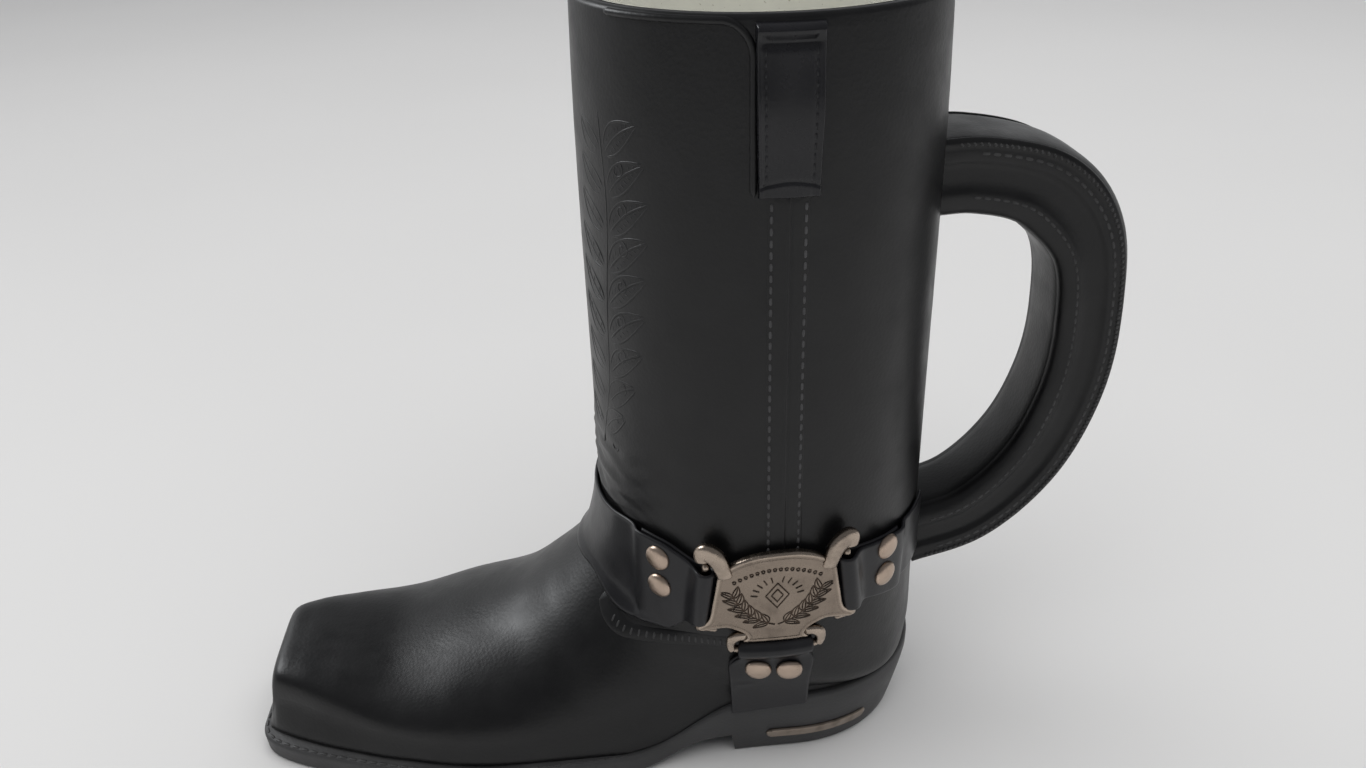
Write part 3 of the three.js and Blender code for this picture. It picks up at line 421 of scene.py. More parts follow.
def foot_section(front, back_x, widest, square_front, square_back, flare_share):
    flare = FLARE * flare_share
    half = float(sole_half(back_x)) - WELT - flare
    return (*front, back_x, float(seat_z(back_x)), half, widest, square_front, square_back, flare)


def heel_back(x, share):
    return (x, mix(ANKLE_Z, HEEL_SEAT_Z, share))


def heel_floor(share):
    return (mix(HEEL_ROUND_X, HEEL_END_X, share), HEEL_SEAT_Z)


def shank(share):
    return mix(SHANK[1], SHANK[0], share)


def vamp_front(t):
    return (mix(INSTEP[0], VAMP[0], t), mix(VAMP[1], INSTEP[1], (1 - t) ** 1.6))


def toe_x(share):
    return mix(VAMP[0], TOE_END_X + WELT, share)


def toe(share_x, share_z):
    return (toe_x(share_x), mix(SOLE_THICKNESS, TOE_Z, share_z))


SECTIONS = np.array(
    [
        round_section(HEIGHT, RIM_RADIUS),
        round_section(mix(HEIGHT, ANKLE_Z, 0.25), SHAFT_RADIUS),
        round_section(mix(HEIGHT, ANKLE_Z, 0.6), SHAFT_RADIUS),
        round_section(mix(HEIGHT, ANKLE_Z, 0.92), SHAFT_RADIUS),
        ankle_section(0, 0.1, heel_back(SHAFT_RADIUS, 0.18), 0.04, 0.5, 2),
        ankle_section(0.15, 0.42, heel_back(SHAFT_RADIUS, 0.54), 0.16, 0.5, 2),
        ankle_section(0.45, 0.73, heel_back(HEEL_END_X - WELT / 2, 0.86), 0.4, 0.52, 2.1),
        ankle_section(0.72, 0.9, heel_floor(0.84), 0.6, 0.55, 2.5),
        ankle_section(1, 1, heel_floor(0.27), 0.88, 0.58, 3.4),
        foot_section(vamp_front(0.13), SHANK[1], 0.6, 2, 5, 0),
        foot_section(vamp_front(0.3), shank(0.6), 0.62, 2, 7, 0.05),
        foot_section(vamp_front(0.58), shank(1.25), 0.66, 2, 8, 0.15),
        foot_section(vamp_front(1), BALL_X + 3, 0.66, 2.1, 8, 0.3),
        foot_section(toe(0.32, 0.99), toe_x(0.29), 0.58, 2.2, 8, 0.4),
        foot_section(toe(0.6, 1.01), toe_x(0.61), 0.5, 3, 8, 0.6),
        foot_section(toe(0.79, 1.02), toe_x(0.8), 0.44, 4.2, 7, 0.72),
        foot_section(toe(0.91, 0.97), toe_x(0.91), 0.44, 4.4, 6, 0.7),
        foot_section(toe(0.94, 0.66), toe_x(0.955), 0.44, 3.2, 5, 0.6),
        foot_section(toe(0.965, 0.36), toe_x(0.985), 0.45, 2.4, 4, 0.5),
    ],
    float,
)
TIP = np.array([toe(0.985, 0.16)[0], 0, toe(0.985, 0.16)[1]])


def sections_at(sections, u):
    """The section values at shares u of the way from the first section to the last."""
    n = len(sections)
    at = np.clip(np.asarray(u, float) * (n - 1), 0, n - 1)
    i = np.minimum(at.astype(int), n - 2)
    t = (at - i)[..., None]
    p0, p1 = sections[np.maximum(i - 1, 0)], sections[i]
    p2, p3 = sections[i + 1], sections[np.minimum(i + 2, n - 1)]
    v0, v1 = (p2 - p0) / 2, (p3 - p1) / 2
    return (2 * p1 - 2 * p2 + v0 + v1) * t**3 + (3 * p2 - 3 * p1 - 2 * v0 - v1) * t**2 + v0 * t + p1


def on_section(values, theta):
    """Points of sections at angles theta: 0 at the front or top, half a turn at the back or bottom.
    Negative angles are on the right side."""
    fx, fz, bx, bz, half, widest, square_front, square_back, flare = np.moveaxis(values, -1, 0)
    c = np.cos(theta)
    back = c < 0
    power = 2 / np.where(back, square_back, square_front)
    reach = np.abs(c) ** power
    along = np.where(back, widest + (1 - widest) * reach, widest * (1 - reach))
    lateral = half * np.abs(np.sin(theta)) ** power
    flared = np.where(back, 1 + flare / half * reach**1.15, 1)
    y = -np.sign(theta) * lateral * flared
    return np.stack([fx + (bx - fx) * along, y, fz + (bz - fz) * along], -1)


def loft(sections, rows, columns):
    """Rings over the sections, evenly spaced along the foot and round each ring."""
    u = np.linspace(0, 1, 1201)
    spread = on_section(sections_at(sections, u)[:, None], np.linspace(0, math.pi, 9)[None])
    steps = np.linalg.norm(np.diff(spread, axis=0), axis=2).max(1)
    lengths = np.concatenate([[0], np.cumsum(steps)])
    u = np.interp(np.linspace(0, lengths[-1], rows), lengths, u)
    values = sections_at(sections, u)
    theta = np.linspace(0, math.pi, 241)
    outlines = on_section(values[:, None], theta[None])
    shares = np.linspace(0, 1, columns + 1)
    runs = [run_lengths(outline) for outline in outlines]
    left = np.array([np.interp(shares * run[-1], run, theta) for run in runs])
    angles = np.concatenate([left, -left[:, -2:0:-1]], 1)
    return on_section(values[:, None], angles)


def skin_table():
    """Radius of the boot's outside about the shaft's axis, by azimuth in degrees and height."""
    u = np.linspace(0, 1, 1601)
    theta = np.linspace(0, math.pi, 301)
    points = on_section(sections_at(SECTIONS, u)[:, None], theta[None])
    heights = np.arange(22, HEIGHT + 0.5, 1.0)
    azimuths = np.arange(0, 181, 1.0)
    falling = np.maximum.accumulate(-points[..., 2], axis=0) + np.arange(len(u))[:, None] * 1e-9
    x, y = (
        np.array([np.interp(-heights, falling[:, j], points[:, j, k]) for j in range(len(theta))])
        for k in (0, 1)
    )
    radius = np.empty((len(heights), len(azimuths)))
    for i in range(len(heights)):
        psi = np.degrees(np.arctan2(-y[:, i], -x[:, i]))
        radius[i] = np.interp(azimuths, np.maximum.accumulate(psi), np.hypot(x[:, i], y[:, i]))
    return heights[0], radius


SKIN_LOW_Z, SKIN_RADIUS = skin_table()


def skin_point(psi, z):
    """The place on the boot's outside at an azimuth and a height."""
    psi, z = np.broadcast_arrays(np.asarray(psi, float), np.asarray(z, float))
    turn = np.abs((psi + 180) % 360 - 180)
    i = np.clip(z - SKIN_LOW_Z, 0, len(SKIN_RADIUS) - 1.001)
    j = np.clip(turn, 0, 179.999)
    i0, j0 = i.astype(int), j.astype(int)
    a, b = i - i0, j - j0
    low = mix(SKIN_RADIUS[i0, j0], SKIN_RADIUS[i0, j0 + 1], b)
    high = mix(SKIN_RADIUS[i0 + 1, j0], SKIN_RADIUS[i0 + 1, j0 + 1], b)
    r = mix(low, high, a)
    return np.stack([-r * np.cos(psi * DEG), -r * np.sin(psi * DEG), z], -1)


def skin_normal(psi, z):
    turn = skin_point(psi + 1.5, z) - skin_point(psi - 1.5, z)
    rise = skin_point(psi, z + 1.5) - skin_point(psi, z - 1.5)
    normal = unit(np.cross(turn, rise))
    facing = (normal[..., :2] * skin_point(psi, z)[..., :2]).sum(-1)
    return normal * np.where(facing < 0, -1, 1)[..., None]


def arc(deg):
    """Millimetres along the shaft's skin for an angle."""
    return deg * DEG * SHAFT_RADIUS


def azimuth_of(points):
    return np.degrees(np.arctan2(-points[..., 1], -points[..., 0]))


def bent(psi, across, z, out):
    """A flat place laid over the boot: across along the skin from azimuth psi, height z, out from it."""
    at = psi + np.asarray(across, float) / (SHAFT_RADIUS * DEG)
    at, z, out = np.broadcast_arrays(at, np.asarray(z, float), np.asarray(out, float))
    return skin_point(at, z) + skin_normal(at, z) * out[..., None]


# Stitches and beads
STITCH_PROFILE = ((-0.5, 0), (-0.46, 0.55), (-0.34, 0.9), (0, 1), (0.34, 0.9), (0.46, 0.55), (0.5, 0))


def stitches(centres, along, out, length, radius, flat=0.7):
    """Small rounded stitches lying on a surface, each along its own direction."""
    turns = full_turn(8)
    template = np.array([
        (a * length, r * radius * math.cos(t), r * radius * flat * math.sin(t))
        for a, r in STITCH_PROFILE
        for t in turns
    ])
    along, out = unit(along), unit(out)
    side = unit(np.cross(out, along))
    basis = np.stack([along, side, np.cross(along, side)], 1)
    verts = centres[:, None] + np.einsum("vk,nkc->nvc", template, basis)
    faces = np.array(grid_faces(len(STITCH_PROFILE), len(turns), True))
    every = faces[None] + (np.arange(len(centres)) * len(template))[:, None, None]
    return verts.reshape(-1, 3), every.reshape(-1, 4).tolist()


def stitch_row(line, out, pitch, length, radius, sink=0.35):
    """Stitches at an even pitch along a line of points with their outward directions."""
    lengths = run_lengths(line)
    count = max(2, int(lengths[-1] / pitch))
    at = (np.arange(count) + 0.5) * lengths[-1] / count
    along = read_off(line, lengths, at + 0.3) - read_off(line, lengths, at - 0.3)
    normal = unit(read_off(out, lengths, at))
    centres = read_off(line, lengths, at) - normal * radius * sink
    return stitches(centres, along, normal, length, radius)


def skin_row(psi, across, z, out, **sizes):
    """A row of stitches on the boot's skin, along places across it and up it."""
    across, z = np.broadcast_arrays(np.asarray(across, float), np.asarray(z, float))
    at = psi + across / (SHAFT_RADIUS * DEG)
    return stitch_row(bent(psi, across, z, out), skin_normal(at, z), **sizes)


def bead(psi, line, width, height, sides=8):
    """A raised rounded line laid over the boot along (across, z) points, sunk a little into it."""
    line = np.asarray(line, float)
    side = directions(line)[1]
    turn = np.linspace(0, math.pi, sides)
    steps = np.arange(len(line))
    fade = np.sqrt(np.clip(np.minimum(steps, steps[::-1]) / 5.0, 0.02, 1))
    offset = -np.cos(turn)[None] * width / 2 * np.maximum(fade, 0.3)[:, None]
    place = line[:, None] + side[:, None] * offset[..., None]
    sunk = 0.15
    out = np.sin(turn)[None] * (height + sunk) * fade[:, None] - sunk
    verts = bent(psi, place[..., 0], place[..., 1], out).reshape(-1, 3)
    return verts, grid_faces(len(line), sides, False)


# Vessel
VESSEL_ROWS = 340
BORE_ROWS = 110
VESSEL_COLUMNS = 150
WALL_DRAW = 15


def grid_normals(rings):
    """Outward normals of a stack of closed rings."""
    along = np.gradient(rings, axis=0)
    around = np.roll(rings, -1, 1) - np.roll(rings, 1, 1)
    normal = unit(np.cross(around, along))
    inward = rings.mean(1, keepdims=True) - rings
    return normal * np.where((normal * inward).sum(-1, keepdims=True) > 0, -1, 1)


def ankle_creases(p):
    """Soft folds where the leather would bend at the front of the ankle."""
    psi, z = azimuth_of(p), p[..., 2]
    front = smooth(1 - np.abs(psi) / 58)
    band = smooth((z - 80) / 8) * smooth((116 - z) / 14)
    wander = 2.2 * np.sin(psi * 0.07) + 1.4 * np.sin(psi * 0.19 + 1.0)
    folds = np.sin((z + wander) * 0.86) + 0.5 * np.sin((z - wander) * 1.53 + 0.8)
    return 0.38 * front * band * folds


def hand_finish(p):
    """The slight unevenness of a slip-cast, hand-finished surface."""
    x, y, z = np.moveaxis(p, -1, 0)
    slow = np.sin(x * 0.11 + 0.6) * np.sin(y * 0.13 + 1.1) * np.sin(z * 0.09)
    quick = np.sin(x * 0.31 + z * 0.17) * np.sin(y * 0.27 - z * 0.23 + 0.4)
    return 0.06 * slow + 0.02 * quick


def lip_arc(start, end):
    """Rings round the lip, by angle from the outside over the top to the inside."""
    middle = RIM_RADIUS - WALL / 2
    flat = WALL / 2 - LIP_RADIUS
    turn = full_turn(2 * VESSEL_COLUMNS)
    rings = []
    for deg in np.linspace(start, end, 8):
        shift = flat if deg < 90 else -flat if deg > 90 else 0
        radius = middle + shift + LIP_RADIUS * math.cos(deg * DEG)
        z = HEIGHT - LIP_RADIUS + LIP_RADIUS * math.sin(deg * DEG)
        rings.append(np.stack([-radius * np.cos(turn), -radius * np.sin(turn), np.full_like(turn, z)], -1))
    return np.array(rings)


def down_to_sole(p):
    """Draws the wall out near the sole, so that it stands close behind the sole's rim all round."""
    x, y, z = np.moveaxis(p, -1, 0)
    middle = np.minimum(x, HEEL_ROUND_X)
    round_heel = np.maximum(x - HEEL_ROUND_X, 0) / (HEEL_END_X - WELT - HEEL_ROUND_X)
    plan = (np.abs(y) / (HEEL_HALF - WELT)) ** HEEL_FULLNESS + round_heel**HEEL_FULLNESS
    in_front = np.abs(y) / np.maximum(sole_half(middle) - WELT, 1)
    reach = np.where(x > HEEL_ROUND_X, plan ** (1 / HEEL_FULLNESS), in_front)
    near = smooth((sole_top(x) + WALL_DRAW - z) / WALL_DRAW) * smooth((x - BALL_X) / (SHANK[0] - BALL_X))
    grow = 1 + near * smooth((reach - 0.5) / 0.3) * np.maximum(1 / np.maximum(reach, 0.5) - 1, 0)
    return np.stack([middle + (x - middle) * grow, y * grow, z], -1)


def below_lip(rings):
    return rings[rings[:, :, 2].min(1) < HEIGHT - LIP_RADIUS]


def vessel():
    rings = below_lip(down_to_sole(loft(SECTIONS, VESSEL_ROWS, VESSEL_COLUMNS)))
    lift = ankle_creases(rings) + hand_finish(rings)
    rings = rings + grid_normals(rings) * lift[..., None]
    rings = np.concatenate([lip_arc(90, 0), rings])
    add_piece("vessel", closed_rings(rings, last=TIP), BLACK, replaced=["boot_vessel"])


def shrunk_sections(by):
    """The sections drawn in by the wall, for the inside."""
    drawn = SECTIONS[:-2].copy()
    front, back = drawn[:, 0:2], drawn[:, 2:4]
    step = unit(back - front) * by
    drawn[:, 0:2], drawn[:, 2:4] = front + step, back - step
    drawn[:, 4] -= by
    drawn[:, 7] = np.minimum(4, drawn[:, 7])
    drawn[:, 8] = 0
    return drawn


def bore():
    rings = below_lip(loft(shrunk_sections(WALL), BORE_ROWS, VESSEL_COLUMNS))
    rings = np.concatenate([lip_arc(90.01, 180), rings])
    tip = rings[-1].mean(0) + [-WALL / 2, 0, 0]
    add_piece("vessel_bore", closed_rings(rings, last=tip), BORE)


# Sole and heel, cast as one wall below the welt
SOLE_EDGE = 1.3
SOLE_END = 0.15


def drawn_in(x, by):
    """Where the outline's point at x goes when the outline is drawn in, and the half width there."""
    half = sole_half(x) * (1 - by / HEEL_HALF)
    heel = mix(HEEL_ROUND_X, x, 1 - by / (HEEL_END_X - HEEL_ROUND_X))
    front = mix(BALL_X, x, 1 - by / (BALL_X - TOE_END_X))
    return np.where(x > HEEL_ROUND_X, heel, np.where(x < BALL_X, front, x)), half


def sole_top(x):
    """Height of the sole's rim, which stands up round the upper's rounded lower edge."""
    return seat_z(x) - JOINT + mix(RIM_AT_TOE, RIM_AT_HEEL, shank_rise(x))


def arch_z(x):
    return ARCH_Z * smooth((x - ARCH[0]) / (ARCH[1] - ARCH[0]))


def sole_wall_in(x, z):
    """How far the sole's wall is drawn in at height z: nearly upright in front, tapering down the heel."""
    near_heel = smooth((x - ARCH[0]) / (HEEL_BREAST_X - ARCH[0]))
    heel_in = (SOLE_LEAN + HEEL_TAPER) * np.clip(1 - z / HEEL_SEAT_Z, 0, 1) ** 1.15
    toe_in = SOLE_LEAN * (1 - z / SOLE_THICKNESS)
    return mix(toe_in, heel_in, near_heel)


def sole_ring(x, bottom):
    """One cross-section of the sole: round its top edge, down the wall and under."""
    top = float(sole_top(x))
    edge = min(SOLE_EDGE, (top - bottom) / 3)
    turn = np.linspace(90, 0, 6) * DEG
    inner = [(WELT + 6, top + 1.6), (WELT + 2, top + 0.4), (edge + 0.3, top + 0.02)]
    upper = [(edge * (1 - math.cos(t)), top - edge * (1 - math.sin(t))) for t in turn]
    walls = [(0.0, z) for z in np.linspace(top - edge, bottom + edge, 9)[1:-1]]
    lower = [(edge * (1 - math.cos(t)), bottom + edge * (1 - math.sin(t))) for t in turn[::-1]]
    points = []
    for by, z in inner + upper + walls + lower:
        at, half = drawn_in(x, max(0.0, float(sole_wall_in(x, max(z, 0)))) + by)
        points.append((float(at), float(half), z))
    left = [(at, -half, z) for at, half, z in points]
    right = points[::-1]
    return [(points[0][0], 0, top), *left, (points[-1][0], 0, bottom), *right]


def eased_shares(count):
    """Shares from 0 to 1, closest together at 0."""
    return 1 - np.cos(np.linspace(0, math.pi / 2, count))


def sole():
    ease = eased_shares(120)
    front = mix(TOE_END_X + SOLE_END, HEEL_BREAST_X - 0.4, ease)
    rear = mix(HEEL_END_X - SOLE_END, HEEL_BREAST_X, ease[::2])[::-1]
    rings = [sole_ring(x, float(arch_z(x))) for x in front]
    rings = np.array(rings + [sole_ring(x, 0.0) for x in rear])
    # Each end closes flat, level by level, in the boot's middle plane.
    rings = np.concatenate([rings[:1] * [1, 0, 1], rings, rings[-1:] * [1, 0, 1]])
    add_piece("sole_and_heel", capped(rings), SOLE_GLAZE_WITH_PAINTED_BOUNCE, ["outsole", "heel_block"], 50)


def welt_stitches():
    """The row of stitches on the welt, round the toe from one side of the ball to the other."""
    xs = mix(TOE_END_X + SOLE_END, SHANK[0], eased_shares(160))
    at, half = drawn_in(xs, 1.1)
    left = np.stack([at, -half, sole_top(xs) + 0.05], -1)
    line = np.vstack([left[::-1] * [1, -1, 1], left])
    up = np.tile([0.0, 0.0, 1.0], (len(line), 1))
    row = stitch_row(line, up, pitch=3.4, length=2.6, radius=0.5, sink=0.2)
    add_piece("welt_stitches", row, STITCH_BLACK)


# Handle
HANDLE_HIGH = node_box("handle")[1]
HANDLE_HALF = HANDLE_HIGH[1]
HANDLE_DEPTH = 17.4
HANDLE_CROWN = 3.97
HANDLE_TOP_Z = 178
HANDLE_LOW_Z = 61
HANDLE_REACH = HANDLE_HIGH[0] - HANDLE_DEPTH / 2 - HANDLE_CROWN - 0.05
HANDLE_REACH_Z = 131
HANDLE_EDGE = 0.4
HANDLE_FLAT_RISE = 0.4
HANDLE_FACE = HANDLE_DEPTH / 2 + HANDLE_EDGE


def handle_path(count):
    """The handle's middle line as (x, z) points, from its top root round to the lower one."""
    root = SHAFT_RADIUS - WALL
    rise = HANDLE_TOP_Z - HANDLE_REACH_Z
    fall = HANDLE_REACH_Z - HANDLE_LOW_Z
    shares = (
        (0.21, HANDLE_TOP_Z - 0.3),
        (0.62, HANDLE_TOP_Z - rise * 0.12),
        (0.915, HANDLE_TOP_Z - rise * 0.45),
        (1, HANDLE_REACH_Z),
        (0.95, HANDLE_REACH_Z - fall * 0.32),
        (0.74, HANDLE_REACH_Z - fall * 0.65),
        (0.36, HANDLE_REACH_Z - fall * 0.9),
    )
    points = [(mix(SHAFT_RADIUS, HANDLE_REACH, share), z) for share, z in shares]
    return curve_through([(root, HANDLE_TOP_Z - 0.4), *points, (root, HANDLE_LOW_Z)], count)


def handle_outline(rise):
    """Half the handle's section as (across, out): a crowned face, piping, side panels and an inner band."""
    w, d, f = HANDLE_HALF, HANDLE_DEPTH / 2, HANDLE_FACE
    edge = w - 2.4
    crown = [(y, f + rise - (rise - 0.05) * (y / edge) ** 4) for y in np.linspace(0, edge, 14)]
    channel = [(w - 2.2, f - 0.25), (w - 2.0, f - 0.2)]
    turn = np.linspace(2.3, -0.7, 9)
    piping = [(w - 1.4 + 1.25 * math.cos(t), f - 0.9 + 1.25 * math.sin(t)) for t in turn]
    band = [(w - 0.35, f - 2.4), (w - 0.3, d * 0.7), (w - 0.35, d * 0.54), (w - 0.6, d * 0.46)]
    panel = [(w - 1.5, d * 0.4), (w - 1.7, d * 0.24), (w - 1.7, -d * 0.05), (w - 1.65, -d * 0.26)]
    inner = [(w - 1.2, -d * 0.34), (w - 0.95, -d * 0.42), (w - 0.95, -d * 0.55), (w - 1.5, -d * 0.76)]
    corner = [(w - 2.4, -d * 0.93), (w - 3.6, -d * 1.01), (w - 4.8, -d * 1.0), (w - 5.4, -d * 1.02)]
    face = [(y, -d - 0.3 - 0.4 * (1 - (y / (w - 5.6)) ** 2)) for y in np.linspace(w - 5.8, 0, 5)]
    return np.array(crown + channel + piping + band + panel + inner + corner + face)


def handle_frames(count, inside=slice(None)):
    """Points of the handle's middle line and its outward direction there, longer where it is deeper."""
    path = handle_path(count)
    share = np.linspace(0, 1, count)
    # The handle is deeper at the top, most of all at its shoulder.
    swell = 1 + 0.2 * (1 - smooth((share - 0.15) / 0.26)) + 0.08 * bell(share, 0.24, 0.07)
    return path[inside], (directions(path)[1] * swell[:, None])[inside]


def clear_of_bore(points):
    """Points that would lie in the vessel's wall are drawn out to just under its skin."""
    radius = np.hypot(points[..., 0], points[..., 1])
    skin = skin_point(azimuth_of(points), points[..., 2])
    least = np.hypot(skin[..., 0], skin[..., 1]) - 1.2
    scale = np.maximum(1, least / np.maximum(radius, 1e-6))
    return np.concatenate([points[..., :2] * scale[..., None], points[..., 2:]], -1)


def upright(flat, across=0.0):
    """(x, z) points or directions of the handle's plane, moved across it."""
    return np.stack([flat[..., 0], np.broadcast_to(across, flat.shape[:-1]), flat[..., 1]], -1)


def handle_place(path, outward, across, out):
    """A place on the handle: across its width and out from its middle line."""
    return upright(path + outward * np.asarray(out)[..., None], across)


def handle():
    path, outward = handle_frames(190)
    # The face is flat where the handle leaves the shaft at the top, and crowned further round.
    crowned = smooth((np.linspace(0, 1, len(path)) - 0.1) / 0.28)[:, None, None]
    half = mix(handle_outline(HANDLE_FLAT_RISE), handle_outline(HANDLE_CROWN - HANDLE_EDGE), crowned)
    loop = np.concatenate([half, half[:, -2:0:-1] * [-1, 1]], 1)
    rings = handle_place(path[:, None], outward[:, None], loop[..., 0], loop[..., 1])
    add_piece("handle", capped(clear_of_bore(rings)), BLACK, replaced=["handle"])


def handle_stitches():
    """Two rows of stitches down each side of the handle."""
    path, outward = handle_frames(600, slice(40, -30))
    w, d = HANDLE_HALF, HANDLE_DEPTH / 2
    rows = []
    for side in (-1, 1):
        sideways = np.tile([0.0, side, 0.0], (len(path), 1))
        for across, out, pitch, length, radius in (
            (w - 0.3, d * 0.68, 3.0, 2.2, 0.48),
            (w - 0.95, -d * 0.5, 2.7, 2.0, 0.42),
        ):
            line = handle_place(path, outward, side * across, np.full(len(path), out))
            rows.append(stitch_row(line, sideways, pitch, length, radius, sink=0.2))
    add_piece("handle_stitches", merged(rows), STITCH_BLACK)


def handle_whipping():
    """Slanted stitches wrapped over the piping along both outer corners."""
    path, outward = handle_frames(600, slice(24, -18))
    run, facing = upright(directions(path)[0]), upright(outward)
    depth = np.full(len(path), HANDLE_FACE - 0.75)
    rows = []
    for side in (-1, 1):
        centre = handle_place(path, outward, side * (HANDLE_HALF - 0.62), depth)
        sideways = np.tile([0.0, side, 0.0], (len(path), 1))
        slant = unit(unit(sideways - facing) + run * 0.45)
        rows.append(stitches(centre[::5], slant[::5], unit(facing + sideways)[::5], 2.3, 0.55, 0.8))
    add_piece("handle_whipping", merged(rows), STITCH_BLACK)


# Straps
UNDER = JOINT + STRAP / 2
OVER = UNDER + STRAP + JOINT


def fold_radius(bar):
    return bar + BAR_CLEAR + STRAP / 2


BAR_OUT = UNDER + fold_radius(BAR_RADIUS)
RING_REST = UNDER + fold_radius(RING_WIRE)
RING_PLANE = SHAFT_RADIUS + RING_REST
RING_ACROSS = math.atan2(RING_RADIUS, RING_PLANE) * SHAFT_RADIUS
RING_OUT = math.hypot(RING_RADIUS, RING_PLANE) - SHAFT_RADIUS
RING_SLACK = RING_RADIUS - math.sqrt(RING_RADIUS**2 - (STRAP_RING_WIDTH / 2) ** 2) + BAR_CLEAR
LOW_BAR_Z = HARNESS_Z - PLATE_HEIGHT / 2 - fold_radius(BAR_RADIUS) - STRAP / 2 - JOINT


def bar_lean(z):
    """The plate's side bars stand further out towards their lower ends."""
    return BAR_LEAN * (HARNESS_Z - z) / (STRAP_END_WIDTH / 2)


def folded_end(bar, out, slack, tab):
    """The middle line of a strap end: from its tucked tab, round a bar and away over the tab."""
    fold = fold_radius(bar)
    high = (out + fold - UNDER) / 2
    top = UNDER + 2 * high
    points = [(tab * share, UNDER) for share in (1, 0.75, 0.5, 0.25, 0.05)] + [(-slack, UNDER)]
    for deg in range(-60, 61, 30):
        points.append((-slack - fold * math.cos(deg * DEG), UNDER + high + high * math.sin(deg * DEG)))
    points += [(-slack, top), (fold * 0.5, mix(OVER, top, 0.86)), (fold * 1.3, mix(OVER, top, 0.35))]
    points += [(fold * 2.1, OVER + 0.1), (tab * 0.5, OVER), (tab * 0.75, OVER), (tab + 0.5, OVER)]
    return points + [(tab + 4, UNDER)]


def strap_end(on_left, tab=TAB_LENGTH, ring_out=RING_OUT):
    """A strap end round one of the plate's bars on the left, or round the ring on the right."""
    if on_left:
        return folded_end(BAR_RADIUS, BAR_OUT, 0, tab)
    return folded_end(RING_WIRE, ring_out, RING_SLACK, tab)


def strap_mesh(line, count, place):
    """A strap of even thickness with rounded edges along a middle line."""
    path = curve_through(line, count)
    normal = directions(path)[1]
    steps = np.linspace(0, 1, 26)
    shares = mix((1 - np.cos(steps * math.pi)) / 2, steps, 0.35)
    thick = (STRAP / 2 - 0.04) * domed(np.minimum(shares, 1 - shares) / 0.035)
    upper = path[:, None] + normal[:, None] * thick[None, :, None]
    lower = path[:, None] - normal[:, None] * thick[None, ::-1, None]
    loop = np.concatenate([upper, lower[:, 1:-1]], 1)
    every = np.concatenate([shares, shares[::-1][1:-1]])
    return capped(place(loop[..., 0], loop[..., 1], np.broadcast_to(every, loop.shape[:2])))


def strap_edges(x, away, end_width):
    """The ankle strap's lower and upper edge: narrow at its bar, broad at the side, arched at the front."""
    broad = smooth(away / STRAP_SPREAD)
    arch = STRAP_ARCH * (1 - smooth((np.abs(x) - STRAP_ARCH_FROM) / STRAP_ARCH_RUN))
    low = mix(HARNESS_Z - end_width / 2, STRAP_SIDE_LOW_Z + arch, broad)
    high = mix(HARNESS_Z + end_width / 2, STRAP_SIDE_HIGH_Z - arch / 4, broad)
    return low, high


def front_strap():
    left_bar = arc(HARNESS_PSI) - BAR_ACROSS
    right_bar = arc(-HARNESS_PSI) + RING_ACROSS
    left = [(left_bar - a, h) for a, h in strap_end(True)]
    right = [(right_bar + a, h) for a, h in strap_end(False)]
    between = [(x, UNDER) for x in np.linspace(left[-1][0], right[-1][0], 8)[1:-1]]

    def place(x, out, share):
        on_left = x > 0
        away = np.where(on_left, left_bar - x, x - right_bar)
        low, high = strap_edges(x, away, np.where(on_left, STRAP_END_WIDTH, STRAP_RING_WIDTH))
        near = np.where(on_left, 1 - smooth(away / TAB_LENGTH), 0)
        z = mix(low + STRAP_END_RISE * near, high, share)
        return bent(0, x - bar_lean(z) * near, z - PLATE_TILT * BAR_ACROSS * near, out)

    shape = strap_mesh(left + between + right[::-1], 420, place)
    add_piece("front_strap", shape, STRAP_BLACK, replaced=["front_strap"])


def rear_strap(name, side):
    on_left = side > 0
    start = BAR_ACROSS if on_left else RING_ACROSS
    width = STRAP_END_WIDTH if on_left else STRAP_RING_WIDTH
    end = arc(180 - HARNESS_PSI) - HANDLE_HALF - 4
    line = [(start + a, h) for a, h in strap_end(on_left)]
    line += [(x, UNDER) for x in np.linspace(line[-1][0], end, 5)[1:]]

    def place(x, out, share):
        grown = mix(width, STRAP_END_WIDTH, smooth((x - start - 6) / TAB_LENGTH))
        near = (1 - smooth((x - start) / TAB_LENGTH)) * (1 if on_left else 0)
        z = HARNESS_Z + grown * (share - 0.5) + STRAP_END_RISE * near * (1 - share)
        z_tilted = z + PLATE_TILT * BAR_ACROSS * near
        return bent(HARNESS_PSI * side, side * (x + bar_lean(z) * near), z_tilted, out)

    piece = f"rear_strap_{name}"
    add_piece(piece, strap_mesh(line, 220, place), STRAP_BLACK, replaced=[piece])


